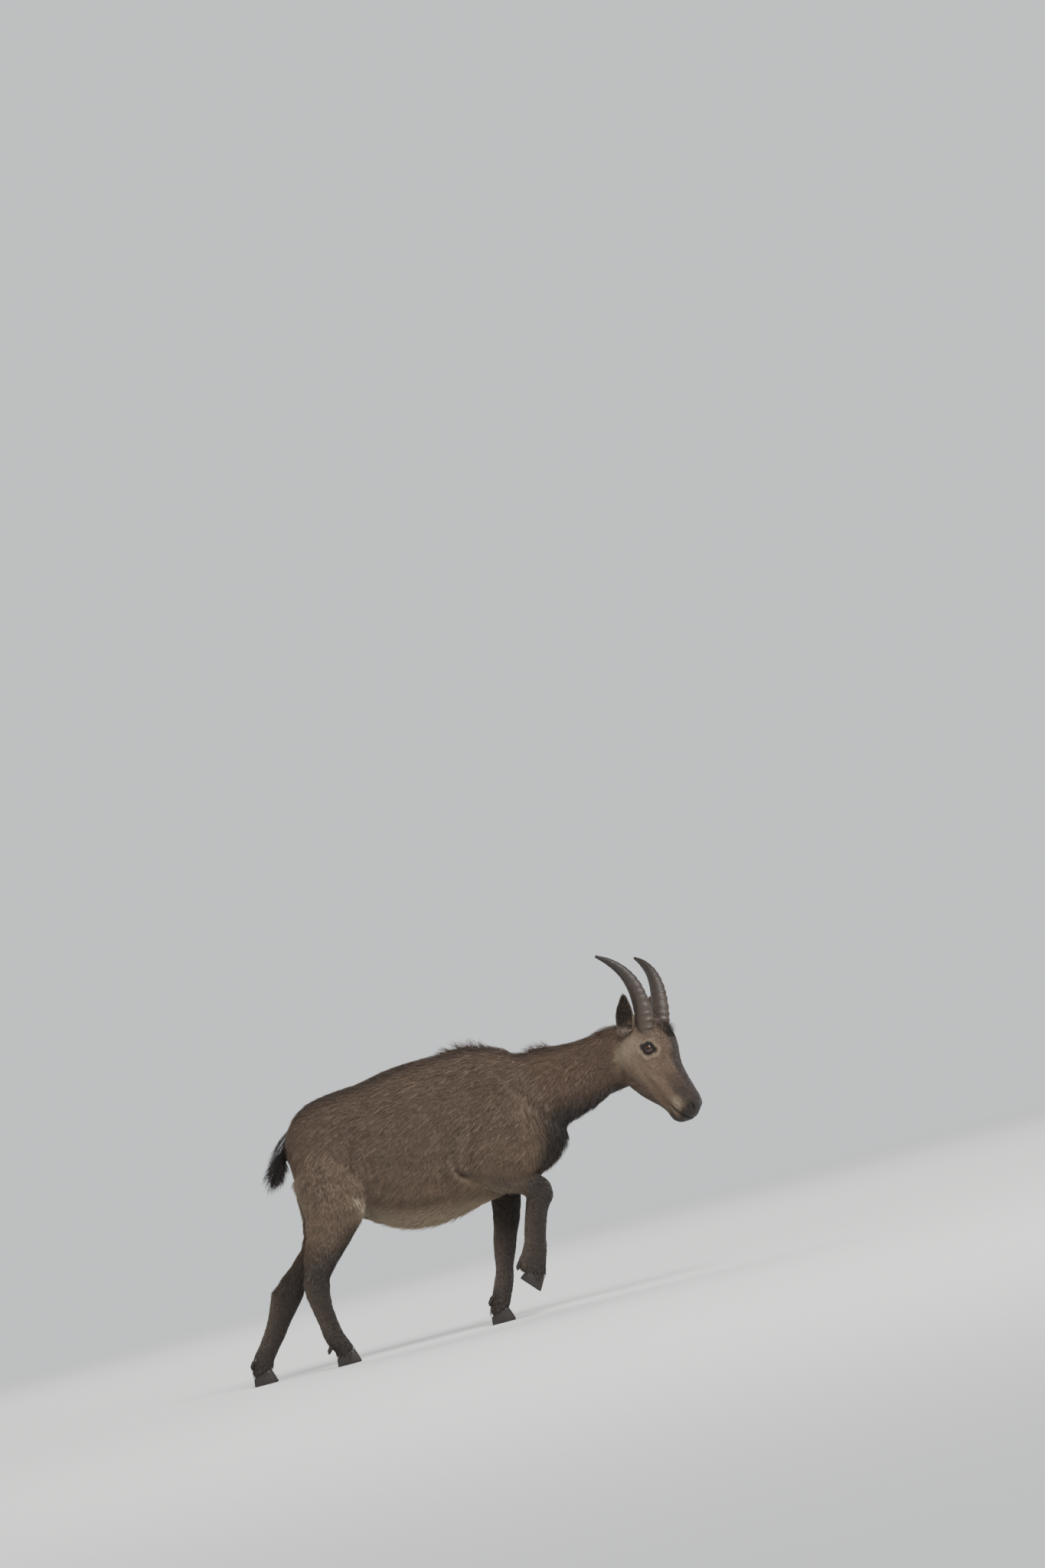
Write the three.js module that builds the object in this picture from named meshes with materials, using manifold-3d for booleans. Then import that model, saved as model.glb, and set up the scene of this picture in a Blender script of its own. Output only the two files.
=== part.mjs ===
// An alpine ibex, a nanny walking uphill with her head turned to her right, as a life-size still model.
// Millimetres. +X is forward, +Y the animal's left, +Z up. The floor is z = 0, under the middle of her length.

import * as THREE from 'three';
import { mergeVertices } from 'three/addons/utils/BufferGeometryUtils.js';
import Module from 'manifold-3d';

const wasm = await Module();
wasm.setup();

// Driving dimensions
const GAP = 0.3; // between two nodes that touch
const HILL = THREE.MathUtils.degToRad(14.8); // slope she climbs, levelled here
const HEAD_TURN = THREE.MathUtils.degToRad(35); // to her right
const HEAD_DROP = THREE.MathUtils.degToRad(51.6); // face below the plumb line's level
const HEAD_PLACE = [590, -106, 585]; // midway between the eyes
const EYE_RADIUS = 16.5;
const EYE_OUT = 46; // eyeball centre from the middle of the head
const CLAW_HALF = 12.5;
const CLEFT = 1.8;
const EAR_WALL = 3.5;
const LIP_DEPTH = 5;
const MOUTH_GAP = 2.2;

// Directions
const FORWARD = new THREE.Vector3(1, 0, 0);
const LEFT = new THREE.Vector3(0, 1, 0);
const UP = new THREE.Vector3(0, 0, 1);
const DOWN = new THREE.Vector3(0, 0, -1);

// Body sections, each at x: top, bottom, height of the widest place, half width
const TORSO = [
  [-416, 600, 500, 556, 34],
  [-404, 626, 470, 560, 62],
  [-375, 655, 440, 565, 84],
  [-328, 682, 405, 560, 98],
  [-262, 694, 352, 535, 108],
  [-190, 700, 312, 505, 116],
  [-110, 715, 292, 480, 120],
  [-40, 720, 294, 472, 118],
  [30, 720, 306, 474, 112],
  [100, 719, 318, 484, 103],
  [165, 706, 330, 495, 91],
  [220, 682, 347, 505, 79],
  [262, 650, 374, 505, 64],
  [296, 600, 410, 495, 44],
  [312, 545, 445, 490, 20],
];

// Neck sections: centre x, y, z, half width, reach up, reach down
const NECK = [
  [150, 0, 560, 84, 110, 110],
  [270, 0, 556, 72, 116, 112],
  [330, -4, 566, 62, 100, 101],
  [385, -12, 574, 55, 89, 91],
  [435, -25, 583, 51, 83, 80],
  [480, -42, 592, 50, 84, 86],
  [522, -61, 600, 44, 74, 80],
];

// Head sections along the face, from poll to nose: place, top, bottom, height of the widest place, half width
const HEAD = [
  [-112, 8, -62, -25, 22],
  [-100, 26, -84, -28, 38],
  [-80, 40, -105, -32, 50],
  [-55, 50, -118, -34, 57],
  [-25, 56, -126, -30, 61],
  [0, 56, -128, -24, 60],
  [28, 46, -127, -28, 55],
  [50, 36, -119, -34, 50],
  [75, 28, -110, -38, 44],
  [100, 26, -98, -38, 38],
  [128, 25, -84, -32, 34],
  [150, 24, -77, -28, 33],
  [170, 23, -75, -28, 33],
  [186, 17, -67, -28, 30],
  [198, 5, -54, -27, 23],
  [206, -10, -42, -26, 11],
];

// Shoulder and limb sections, each at a height: front x, back x, distance from the middle, half width
const SHOULDER = [
  [672, 140, 92, 48, 18],
  [615, 186, 66, 63, 30],
  [555, 218, 44, 70, 37],
  [495, 244, 20, 75, 41],
  [445, 252, 6, 77, 44],
  [405, 244, 6, 77, 43],
  [375, 222, 34, 74, 39],
  [348, 190, 72, 70, 32],
  [330, 160, 100, 66, 20],
];
const STANDING_FORELEG = [
  [430, 175, 60, 66, 40],
  [380, 165, 68, 64, 42],
  [330, 155, 68, 58, 40],
  [290, 145, 66, 52, 36],
  [250, 132, 58, 45, 32],
  [210, 113, 47, 36, 30],
  [175, 100, 41, 28, 25],
  [135, 83, 35, 20, 22],
  [105, 76, 22, 14, 23],
  [82, 68, 12, 9, 26],
  [60, 57, 4, 5, 26],
  [40, 48, -5, 2, 27],
  [18, 48, -9, 0, 27],
];
const RAISED_CANNON = [
  [318, 214, 182, 59, 20],
  [302, 226, 160, 59, 28],
  [278, 222, 152, 58, 29],
  [250, 205, 143, 58, 26],
  [225, 196, 135, 57, 23],
  [190, 185, 126, 56, 22],
  [165, 181, 112, 56, 24],
  [145, 175, 97, 56, 27],
  [122, 167, 94, 56, 27],
  [100, 161, 98, 56, 27],
  [78, 150, 106, 56, 26],
];
const REACHING_HINDLEG = [
  [590, -262, -385, 56, 28],
  [540, -238, -415, 64, 42],
  [490, -226, -425, 70, 49],
  [440, -224, -412, 75, 52],
  [395, -238, -409, 78, 50],
  [350, -264, -418, 78, 44],
  [305, -308, -436, 77, 37],
  [262, -352, -447, 76, 31],
  [228, -382, -456, 75, 27],
  [195, -393, -457, 74, 24],
  [155, -396, -450, 73, 21],
  [115, -392, -443, 72, 21],
  [85, -387, -440, 72, 25],
  [62, -378, -434, 72, 27],
  [40, -370, -420, 72, 27],
  [18, -364, -421, 72, 27],
];
const TRAILING_HINDLEG = [
  [590, -262, -385, 56, 28],
  [540, -244, -415, 64, 42],
  [490, -246, -425, 70, 49],
  [440, -272, -424, 75, 50],
  [395, -304, -424, 78, 46],
  [355, -334, -430, 77, 41],
  [320, -362, -446, 76, 37],
  [285, -394, -480, 74, 33],
  [255, -422, -518, 72, 29],
  [228, -444, -549, 71, 26],
  [200, -466, -560, 70, 24],
  [170, -492, -572, 69, 21],
  [140, -518, -588, 68, 20],
  [110, -540, -608, 67, 21],
  [80, -566, -632, 66, 25],
  [55, -586, -645, 66, 27],
  [30, -592, -649, 66, 27],
  [15, -590, -652, 66, 27],
];

// Raised forearm sections, each at x: top, bottom, distance from the middle, half width
const RAISED_FOREARM = [
  [40, 440, 392, 66, 22],
  [64, 438, 368, 69, 34],
  [92, 430, 333, 71, 39],
  [120, 414, 322, 70, 38],
  [150, 396, 310, 67, 35],
  [180, 374, 282, 63, 32],
  [205, 354, 266, 60, 29],
  [221, 338, 272, 59, 25],
  [231, 320, 288, 58, 13],
];

// Feet: middle of the sole, how far the toe points down, and the height of the dewclaws up the limb
const FEET = {
  foreleg_left: { at: [22, 0, 0], tip: 0, dew: [3, 5, 64] },
  foreleg_right: { at: [112, -56, 79], tip: THREE.MathUtils.degToRad(48), dew: [97, -56, 137] },
  hindleg_left: { at: [-620, 66, 0], tip: 0, dew: [-641, 66, 60] },
  hindleg_right: { at: [-391, -72, 0], tip: 0, dew: [-430, -72, 52] },
};

// Horn, in the head's frame for her left one: place x, side, height, half width, half depth
const HORN = [
  [-42, 34, 12, 16, 22],
  [-71, 38, 33, 18, 26],
  [-112, 45, 55, 17, 24],
  [-154, 54, 69, 15, 20.5],
  [-197, 66, 71, 12, 15.5],
  [-238, 79, 60, 8, 10],
  [-272, 91, 42, 3, 3.5],
];
const HORN_RIDGES = 11;
const RIDGE_HEIGHT = 0.075; // of the horn's half depth

// Ears, in the head's frame: root and tip, for her left and right
const EAR_ROOT = [-66, 48, -36];
const EAR_TIPS = { left: [-158, 84, 22], right: [-137, -96, 52] };
const EAR_HALF = 25;
const EAR_ROWS = 6;

// Tail sections: x, z, half width, half depth
const TAIL = [
  [-372, 630, 20, 18],
  [-394, 616, 20, 18],
  [-413, 593, 18, 16],
  [-427, 566, 15, 13],
  [-438, 540, 11, 10],
  [-444, 520, 4, 4],
];

// Long hair, in flat tapered locks
const LOCK_SINK = 9; // how deep a lock's root sits
const WITHERS = { from: 40, to: 200, height: 714, count: 9, length: 30, width: 24 };
const NAPE = { from: 257, to: 330, height: 666, fall: 7, count: 5, length: 29, width: 20 };
const BELLY = { from: -240, to: 30, count: 14, length: 52, width: 26 };
const BRISKET = { count: 9, length: 46, width: 24 };
const BRUSH = { rows: 4, length: 68, width: 19 };
const FORELOCK = { count: 5, length: 36, width: 21 };

// Closed solids

function solid(geometry) {
  const bare = geometry.clone();
  bare.deleteAttribute('normal');
  bare.deleteAttribute('uv');
  const merged = mergeVertices(bare, 1e-4);
  return new wasm.Manifold(new wasm.Mesh({
    numProp: 3,
    vertProperties: new Float32Array(merged.attributes.position.array),
    triVerts: new Uint32Array(merged.index.array),
  }));
}

// A smooth curve through rows of numbers, at a share of its length
function curve(rows, share) {
  const last = rows.length - 1;
  const place = Math.min(Math.max(share, 0), 1) * last;
  const i = Math.min(Math.floor(place), last - 1);
  const u = place - i;
  const row = (k) => rows[Math.min(Math.max(k, 0), last)];
  return rows[0].map((_, n) => {
    const [a, b, c, d] = [row(i - 1)[n], row(i)[n], row(i + 1)[n], row(i + 2)[n]];
    return 0.5 * (2 * b + (c - a) * u + (2 * a - 5 * b + 4 * c - d) * u * u
      + (3 * b - a - 3 * c + d) * u * u * u);
  });
}

// Rings of soft ovals along a curve, closed at both ends.
// A row holds the centre x, y, z, the half width, and the reach to the ring's front and to its back.
function loft(rows, { around = 16, steps = 2, along = null, across = LEFT, square = 2.2, swell = () => 1 } = {}) {
  const count = (rows.length - 1) * steps;
  const points = [];
  for (let i = 0; i <= count; i++) {
    const share = i / count;
    const [x, y, z, wide, fore, aft] = curve(rows, share);
    const ahead = curve(rows, Math.min(share + 0.5 / count, 1));
    const behind = curve(rows, Math.max(share - 0.5 / count, 0));
    const run = along ?? new THREE.Vector3(ahead[0] - behind[0], ahead[1] - behind[1], ahead[2] - behind[2]);
    const heading = run.clone().normalize();
    const side = across.clone().addScaledVector(heading, -across.dot(heading)).normalize();
    const front = heading.clone().cross(side);
    for (let k = 0; k < around; k++) {
      const angle = (k / around) * 2 * Math.PI;
      const [c, s] = [Math.cos(angle), Math.sin(angle)];
      const size = swell(share, angle);
      const sideways = Math.sign(c) * Math.abs(c) ** (2 / square) * wide * size;
      const frontward = Math.sign(s) * Math.abs(s) ** (2 / square) * (s > 0 ? fore : aft) * size;
      points.push(new THREE.Vector3(x, y, z).addScaledVector(side, sideways).addScaledVector(front, frontward));
    }
  }
  const first = points.length;
  points.push(new THREE.Vector3(...curve(rows, 0).slice(0, 3)));
  points.push(new THREE.Vector3(...curve(rows, 1).slice(0, 3)));
  const faces = [];
  for (let k = 0; k < around; k++) {
    const next = (k + 1) % around;
    faces.push(first, next, k, first + 1, count * around + k, count * around + next);
    for (let i = 0; i < count; i++) {
      const [a, b] = [i * around + k, i * around + next];
      const [c, d] = [a + around, b + around];
      faces.push(a, b, c, b, d, c);
    }
  }
  const geometry = new THREE.BufferGeometry().setFromPoints(points);
  geometry.setIndex(faces);
  return solid(geometry);
}

// Draws between -1 and 1 that come out the same on every run
function dice(seed) {
  let state = seed;
  return () => {
    state = (state * 16807) % 2147483647;
    return (state / 2147483647) * 2 - 1;
  };
}

// A flat lock from a root on the surface: it lifts by a share of its length and bends over along its lie
function lock(root, lie, out, length, width, lift = 0.45) {
  const [start, way, away] = [new THREE.Vector3(...root), lie.clone().normalize(), out.clone().normalize()];
  const across = way.clone().cross(away).normalize();
  const at = (run, rise) => start.clone().addScaledVector(way, run * length).addScaledVector(away, rise);
  const path = [
    [at(-0.05, -LOCK_SINK), 0.45, 0.2],
    [at(0.4, lift * length * 0.7), 0.45, 0.18],
    [at(1, lift * length), 0.06, 0.05],
  ];
  const rows = path.map(([p, wide, thick]) => [p.x, p.y, p.z, wide * width, thick * width, thick * width]);
  return loft(rows, { around: 4, steps: 1, across, square: 2 });
}

function union(pieces) {
  return pieces.reduce((whole, piece) => whole.add(piece));
}

// The half of space beyond a point, as a big box with one face there
function beyond(point, normal, reach = 600) {
  const box = new THREE.BoxGeometry(reach, reach, reach).translate(0, 0, reach / 2);
  const turn = new THREE.Quaternion().setFromUnitVectors(UP, normal.clone().normalize());
  box.applyQuaternion(turn).translate(...point);
  return solid(box);
}

// Part a solid with a thin plane cut: what lies before it, and what lies beyond
function part(body, point, normal, reach = 600) {
  const half = normal.clone().normalize().multiplyScalar(GAP / 2);
  const at = new THREE.Vector3(...point);
  const near = body.subtract(beyond(at.clone().sub(half).toArray(), normal, reach));
  const far = body.intersect(beyond(at.clone().add(half).toArray(), normal, reach));
  return [near, far];
}

function ball(radius, [x, y, z], [sx, sy, sz] = [1, 1, 1], segments = 20) {
  const geometry = new THREE.SphereGeometry(radius, segments, Math.round(segments * 0.7));
  return solid(geometry.rotateX(Math.PI / 2).scale(sx, sy, sz).translate(x, y, z));
}

function moved(body, matrix) {
  return body.transform(matrix.elements);
}

// The head's own frame: x along the face to the nose, y to her left, z out of the forehead
const headFrame = new THREE.Matrix4().makeTranslation(...HEAD_PLACE)
  .multiply(new THREE.Matrix4().makeRotationY(HILL))
  .multiply(new THREE.Matrix4().makeRotationZ(-HEAD_TURN))
  .multiply(new THREE.Matrix4().makeRotationY(HEAD_DROP));

// Flesh, each piece a little larger where a neighbour is cut to clear it

const trunkRows = (grow) =>
  TORSO.map(([x, top, low, level, half]) => [x, 0, level, half + grow, top - level + grow, level - low + grow]);

// The trunk's section at a place along it
function trunkAt(x) {
  const next = TORSO.findIndex(([at]) => at > x);
  const [a, b] = [TORSO[next - 1][0], TORSO[next][0]];
  return curve(trunkRows(0), (next - 1 + (x - a) / (b - a)) / (TORSO.length - 1));
}

const trunk = (grow) => loft(trunkRows(grow), { around: 22, steps: 2, along: FORWARD, square: 2.25 });

const neck = (grow) => loft(
  NECK.map(([x, y, z, half, up, down]) => [x, y, z, half + grow, up + grow, down + grow]),
  { around: 20, steps: 2 });

const upright = (sections, side, grow, options) => loft(
  sections.map(([z, front, back, out, half]) => {
    const reach = (front - back) / 2 + grow;
    return [(front + back) / 2, side * out, z, half + grow, reach, reach];
  }),
  { around: 14, steps: 1, along: DOWN, ...options });

const forearm = (grow) => loft(
  RAISED_FOREARM.map(([x, top, low, out, half]) => {
    const reach = (top - low) / 2 + grow;
    return [x, -out, (top + low) / 2, half + grow, reach, reach];
  }),
  { around: 14, steps: 1, along: FORWARD });

const face = (grow, options) => loft(
  HEAD.map(([x, top, low, level, half]) => [x, 0, level, half + grow, top - level + grow, level - low + grow]),
  { around: 20, steps: 2, along: FORWARD, square: 2.15, ...options });

const flesh = (grow) => union([
  trunk(grow),
  neck(grow),
  upright(SHOULDER, 1, grow),
  upright(SHOULDER, -1, grow),
  upright(REACHING_HINDLEG, -1, grow),
  upright(TRAILING_HINDLEG, 1, grow),
  moved(face(grow), headFrame),
]);

const standingForeleg = (grow) => upright(STANDING_FORELEG, 1, grow);
const raisedForeleg = (grow) => forearm(grow).add(upright(RAISED_CANNON, -1, grow));

// Colours
const COLOURS = {
  coat: 0x6b5a49, neck: 0x5f4f41, head: 0x665545, legs: 0x33281f, tail: 0x241c17,
  horn: 0x3a332e, eye: 0x6e4a1c, hoof: 0x1d1a18,
};
const finish = (colour, roughness) => new THREE.MeshStandardMaterial({ color: colour, roughness, metalness: 0 });

const model = new THREE.Group();

// A node keeps only its largest closed surface
function node(name, body, colour, roughness = 0.9) {
  const whole = body.decompose().sort((a, b) => b.volume() - a.volume())[0];
  const mesh = whole.getMesh();
  const geometry = new THREE.BufferGeometry();
  geometry.setAttribute('position', new THREE.BufferAttribute(new Float32Array(mesh.vertProperties), 3));
  geometry.setIndex(new THREE.BufferAttribute(new Uint32Array(mesh.triVerts), 1));
  const piece = new THREE.Mesh(geometry, finish(colour, roughness));
  piece.name = name;
  model.add(piece);
}

// Hooves: two claws and two dewclaws on each foot

const CLAW = [
  [0, 33, -31, 12],
  [4, 33.5, -31.5, 12.5],
  [15, 30, -30, 12.5],
  [29, 25, -27, 12],
  [44, 18, -24, 11],
];
const CORONET_HEIGHT = 30;
const CORONET_TILT = new THREE.Vector3(-0.28, 0, 0.96);

function footFrame({ at, tip }) {
  return new THREE.Matrix4().makeTranslation(...at).multiply(new THREE.Matrix4().makeRotationY(tip));
}

function claw(side, foot) {
  const shape = loft(
    CLAW.map(([z, front, back, half]) => {
      const reach = (front - back) / 2;
      return [(front + back) / 2, 0, z, half, reach, reach];
    }),
    { around: 10, steps: 1, along: UP, across: LEFT.clone().negate(), square: 2.5 });
  const below = part(shape, [0, 0, CORONET_HEIGHT - GAP], CORONET_TILT, 120)[0];
  const out = side * (CLAW_HALF + CLEFT / 2);
  return moved(below, footFrame(foot).multiply(new THREE.Matrix4().makeTranslation(0, out, 0)));
}

function dewclaw(side, [x, y, z]) {
  return loft([
    [x + 13, y + side * 12, z + 9, 7, 7, 7],
    [x + 3, y + side * 13, z + 2, 7, 7, 7],
    [x - 4, y + side * 13, z - 7, 6, 6, 6],
    [x - 6, y + side * 13, z - 14, 3, 2.5, 2.5],
  ], { around: 6, steps: 1 });
}

// Horn: a bent oval tube with growth ridges on its front

function horn(side) {
  const rows = HORN.map(([x, y, z, half, deep]) => [x, side * y, z, half, deep, deep]);
  const ridges = (share, angle) => {
    const front = 0.3 + 0.7 * Math.max(0, -Math.sin(angle));
    const fade = 1 - share ** 2;
    return 1 + RIDGE_HEIGHT * front * fade * Math.sin(share * HORN_RIDGES * 2 * Math.PI);
  };
  return loft(rows, { around: 10, steps: 6, swell: ridges, square: 2 });
}

// Ear: a leaf-shaped cup, open outward

function ear(side) {
  const root = new THREE.Vector3(EAR_ROOT[0], side * EAR_ROOT[1], EAR_ROOT[2]);
  const tip = new THREE.Vector3(...EAR_TIPS[side > 0 ? 'left' : 'right']);
  const stalk = tip.clone().sub(root);
  const open = new THREE.Vector3(0.25, side, 0.35);
  const across = open.clone().cross(stalk).normalize();
  const leaf = (share) => EAR_HALF * (0.66 + 0.42 * Math.sin(Math.PI * Math.min(share * 1.1, 1)) - 0.42 * share ** 4);
  const rows = (thin, from, to) => Array.from({ length: EAR_ROWS }, (_, i) => {
    const share = from + (to - from) * (i / (EAR_ROWS - 1));
    const at = root.clone().addScaledVector(stalk, share);
    const half = Math.max(leaf(share) - thin, 1.5);
    return [at.x, at.y, at.z, half, thin > 0 ? half * 1.3 : half * 0.45, half * 0.62];
  });
  const outer = loft(rows(0, 0, 1), { around: 12, steps: 1, across });
  const hollow = loft(rows(EAR_WALL, 0.2, 0.94), { around: 10, steps: 1, across });
  return outer.subtract(hollow);
}

// Head: orbits, eye openings with lid rims, nostrils and the line of the mouth

const EYE_LOOK = (side) => new THREE.Vector3(0.25, side * 0.93, 0.24).normalize();
const EYE_PLACE = (side) => [2, side * EYE_OUT, 2];
const OPENING = { half: 15.5, high: 9.5 };

// A frame at the eyeball's centre: z looks out of the head, x runs to the front corner of the lids
function eyeFrame(side) {
  const out = EYE_LOOK(side);
  const corner = new THREE.Vector3(0.68, 0, 0.73);
  const forward = corner.addScaledVector(out, -corner.dot(out)).normalize();
  const third = out.clone().cross(forward);
  return new THREE.Matrix4().makeBasis(forward, third, out).setPosition(...EYE_PLACE(side));
}

function eyeOpening(side) {
  const { half, high } = OPENING;
  const lens = new THREE.Shape();
  lens.moveTo(-half, 0);
  lens.bezierCurveTo(-half * 0.6, high * 1.3, half * 0.5, high * 1.3, half, -1);
  lens.bezierCurveTo(half * 0.5, -high * 1.2, -half * 0.6, -high * 1.2, -half, 0);
  const cut = new THREE.ExtrudeGeometry(lens, { depth: 40, bevelEnabled: false, curveSegments: 5 });
  return moved(solid(cut), eyeFrame(side));
}

function lidRim(side) {
  const rim = new THREE.TorusGeometry(1, 0.17, 4, 16);
  const points = rim.attributes.position;
  const bulge = EYE_RADIUS + 1.6;
  for (let i = 0; i < points.count; i++) {
    const [x, y] = [points.getX(i) * OPENING.half, points.getY(i) * OPENING.high * 1.05];
    const rise = Math.sqrt(Math.max(bulge ** 2 - x * x - y * y, 20));
    points.setXYZ(i, x, y, rise + points.getZ(i) * OPENING.half * 0.9);
  }
  return moved(solid(rim), eyeFrame(side));
}

function nostril(side) {
  const slit = new THREE.Vector3(-0.72, side * 0.4, 0.57).normalize();
  const inward = new THREE.Vector3(-0.62, -side * 0.68, -0.38);
  inward.addScaledVector(slit, -inward.dot(slit)).normalize();
  const turn = new THREE.Matrix4().makeBasis(slit, inward, slit.clone().cross(inward));
  return moved(ball(1, [0, 0, 0], [10.5, 8, 3], 8), turn.setPosition(195, side * 17, 2));
}

// The mouth runs from the front of the lips to its corner as one shallow groove
function mouthLine() {
  const corner = [146, -46];
  const bend = [176, -40];
  const front = [215, -27];
  const line = new THREE.Shape();
  line.moveTo(...corner);
  line.quadraticCurveTo(bend[0], bend[1] + MOUTH_GAP / 2, front[0], front[1] + MOUTH_GAP / 2);
  line.lineTo(front[0], front[1] - MOUTH_GAP / 2);
  line.quadraticCurveTo(bend[0], bend[1] - MOUTH_GAP / 2, ...corner);
  const slab = new THREE.ExtrudeGeometry(line, { depth: 90, bevelEnabled: false, curveSegments: 6 });
  slab.rotateX(Math.PI / 2).translate(0, 45, 0);
  return solid(slab).subtract(face(-LIP_DEPTH, { around: 14, steps: 1 }));
}

function dressHead(blank) {
  let head = blank;
  for (const side of [1, -1]) {
    const orbit = ball(1, [0, side * 44, 2], [27, 21.5, 24], 11);
    const socket = ball(EYE_RADIUS + GAP + 0.3, EYE_PLACE(side), [1, 1, 1], 11);
    head = head.add(moved(orbit, headFrame));
    head = head.subtract(moved(eyeOpening(side), headFrame));
    head = head.add(moved(lidRim(side), headFrame));
    head = head.subtract(moved(socket, headFrame));
    head = head.subtract(moved(nostril(side), headFrame));
  }
  return head.subtract(moved(mouthLine(), headFrame));
}

// Long hair

const UPRIGHT_LIE = new THREE.Vector3(-0.66, 0, 0.75);

// The erect crest along the top line: locks on both sides of it that lean back and overlap
function crest({ from, to, height, fall = 0, count, length, width }, seed) {
  const draw = dice(seed);
  return Array.from({ length: count * 2 }, (_, i) => {
    const share = (Math.floor(i / 2) + 0.5 * (i % 2)) / count;
    const side = i % 2 ? 1 : -1;
    const full = 0.55 + 0.45 * Math.sin(Math.PI * share);
    const x = from + (to - from) * share;
    const z = height - fall * share + 3 * Math.sin(Math.PI * share);
    const lie = UPRIGHT_LIE.clone().add(new THREE.Vector3(0.15 * draw(), side * 0.1, 0));
    const out = new THREE.Vector3(0, side, 0.1 * draw());
    return lock([x, side * 5, z], lie, out, length * full * (1 + 0.2 * draw()), width, 0.16);
  });
}

// The fringe under the belly, hanging down and back on both sides of the middle
function bellyFringe() {
  const draw = dice(31);
  const { from, to, count, length, width } = BELLY;
  return Array.from({ length: count }, (_, i) => {
    const x = from + ((to - from) * (i + 0.5)) / count;
    const side = i % 2 ? 1 : -1;
    const [, , level, , , reach] = trunkAt(x);
    const lie = new THREE.Vector3(-0.9, 0.08 * draw(), -0.3 + 0.06 * draw());
    const at = [x + 20, side * 16, level - reach + 5];
    return lock(at, lie, new THREE.Vector3(0, side, -0.25), length * (1 + 0.2 * draw()), width, 0.12);
  });
}

// Hair that hangs down the front of the chest
function brisket() {
  const draw = dice(57);
  return Array.from({ length: BRISKET.count }, (_, i) => {
    const share = i / (BRISKET.count - 1);
    const side = i % 2 ? 1 : -1;
    const at = [300 - 56 * share ** 1.5, side * 9, 470 - 104 * share];
    const lie = new THREE.Vector3(-0.02 - 0.3 * share, 0.1 * draw(), -1);
    const out = new THREE.Vector3(0.35, side, 0);
    return lock(at, lie, out, BRISKET.length * (1 + 0.15 * draw()), BRISKET.width, 0.12);
  });
}

// The tail's brush: rows of locks down its back and sides, longest at the tip
function brush() {
  const draw = dice(83);
  const locks = [];
  for (let row = 0; row < BRUSH.rows; row++) {
    const share = 0.34 + (0.6 * row) / (BRUSH.rows - 1);
    const [x, z, half, deep] = curve(TAIL, share);
    for (const turn of [-1, -0.35, 0.35, 1]) {
      const [sideways, back] = [Math.sin(turn * 1.5), Math.cos(turn * 1.5)];
      const out = new THREE.Vector3(-back, sideways, 0.1);
      const lie = new THREE.Vector3(-0.5 - 0.12 * row + 0.1 * draw(), sideways * 0.3 + 0.12 * draw(), -0.95);
      const at = [x - back * deep * 0.8, sideways * half * 0.8, z];
      const length = BRUSH.length * (0.7 + 0.13 * row + 0.15 * draw());
      locks.push(lock(at, lie, out, length, BRUSH.width * (1 + 0.2 * draw()), 0.12));
    }
  }
  return locks;
}

// The tuft over the forehead, in the head's frame, falling down the face
function forelock() {
  const draw = dice(19);
  return Array.from({ length: FORELOCK.count }, (_, i) => {
    const side = (i % 3) - 1;
    const at = [-44 + 7 * Math.floor(i / 3) + 3 * draw(), side * 11 + 2 * draw(), 54];
    const lie = new THREE.Vector3(1, side * 0.2 + 0.1 * draw(), 0.1 * draw());
    const out = new THREE.Vector3(0, side || 0.6, 0.7);
    return moved(lock(at, lie, out, FORELOCK.length * (1 + 0.2 * draw()), FORELOCK.width, 0.12), headFrame);
  });
}

// Build the flesh whole, then part it with thin cuts

// The seam round each thigh, seen from the side: x and height
const THIGH_SEAM = [
  [-256, 345], [-230, 395], [-221, 440], [-232, 495], [-265, 538], [-320, 556], [-375, 542], [-415, 508], [-460, 500],
];
const GROIN = 28; // half the trunk left between the thighs

function thighRegion(side) {
  const outline = new THREE.Shape(THIGH_SEAM.map(([x, z]) => new THREE.Vector2(x, z)));
  outline.lineTo(-720, 420);
  outline.lineTo(-720, -40);
  outline.lineTo(-256, -40);
  const block = new THREE.ExtrudeGeometry(outline, { depth: 200, bevelEnabled: false });
  return solid(block.rotateX(Math.PI / 2).translate(0, side > 0 ? GROIN + 200 : -GROIN, 0));
}

// Where each limb is parted: at the knee or hock, at the fetlock and at the coronet
const JOINTS = {
  foreleg_left: [[[80, 36, 208], [-0.15, 0, -1]], [[40, 8, 72], [-0.2, 0, -1]]],
  foreleg_right: [[[195, -58, 285], [0.28, 0, -0.96]], [[138, -56, 142], [-0.2, 0, -1]]],
  hindleg_left: [[[-512, 70, 214], [-0.35, 0, -0.94]], [[-600, 66, 72], [-0.3, 0, -1]]],
  hindleg_right: [[[-425, -74, 222], [-0.1, 0, -1]], [[-408, -72, 70], [0.1, 0, -1]]],
};

const whole = flesh(0);
const clearance = flesh(GAP);
const limbs = {
  foreleg_left: standingForeleg(0).subtract(clearance),
  foreleg_right: raisedForeleg(0).subtract(clearance),
};
const limbClearance = {
  foreleg_left: standingForeleg(GAP),
  foreleg_right: raisedForeleg(GAP),
  hindleg_left: upright(TRAILING_HINDLEG, 1, GAP),
  hindleg_right: upright(REACHING_HINDLEG, -1, GAP),
};

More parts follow.
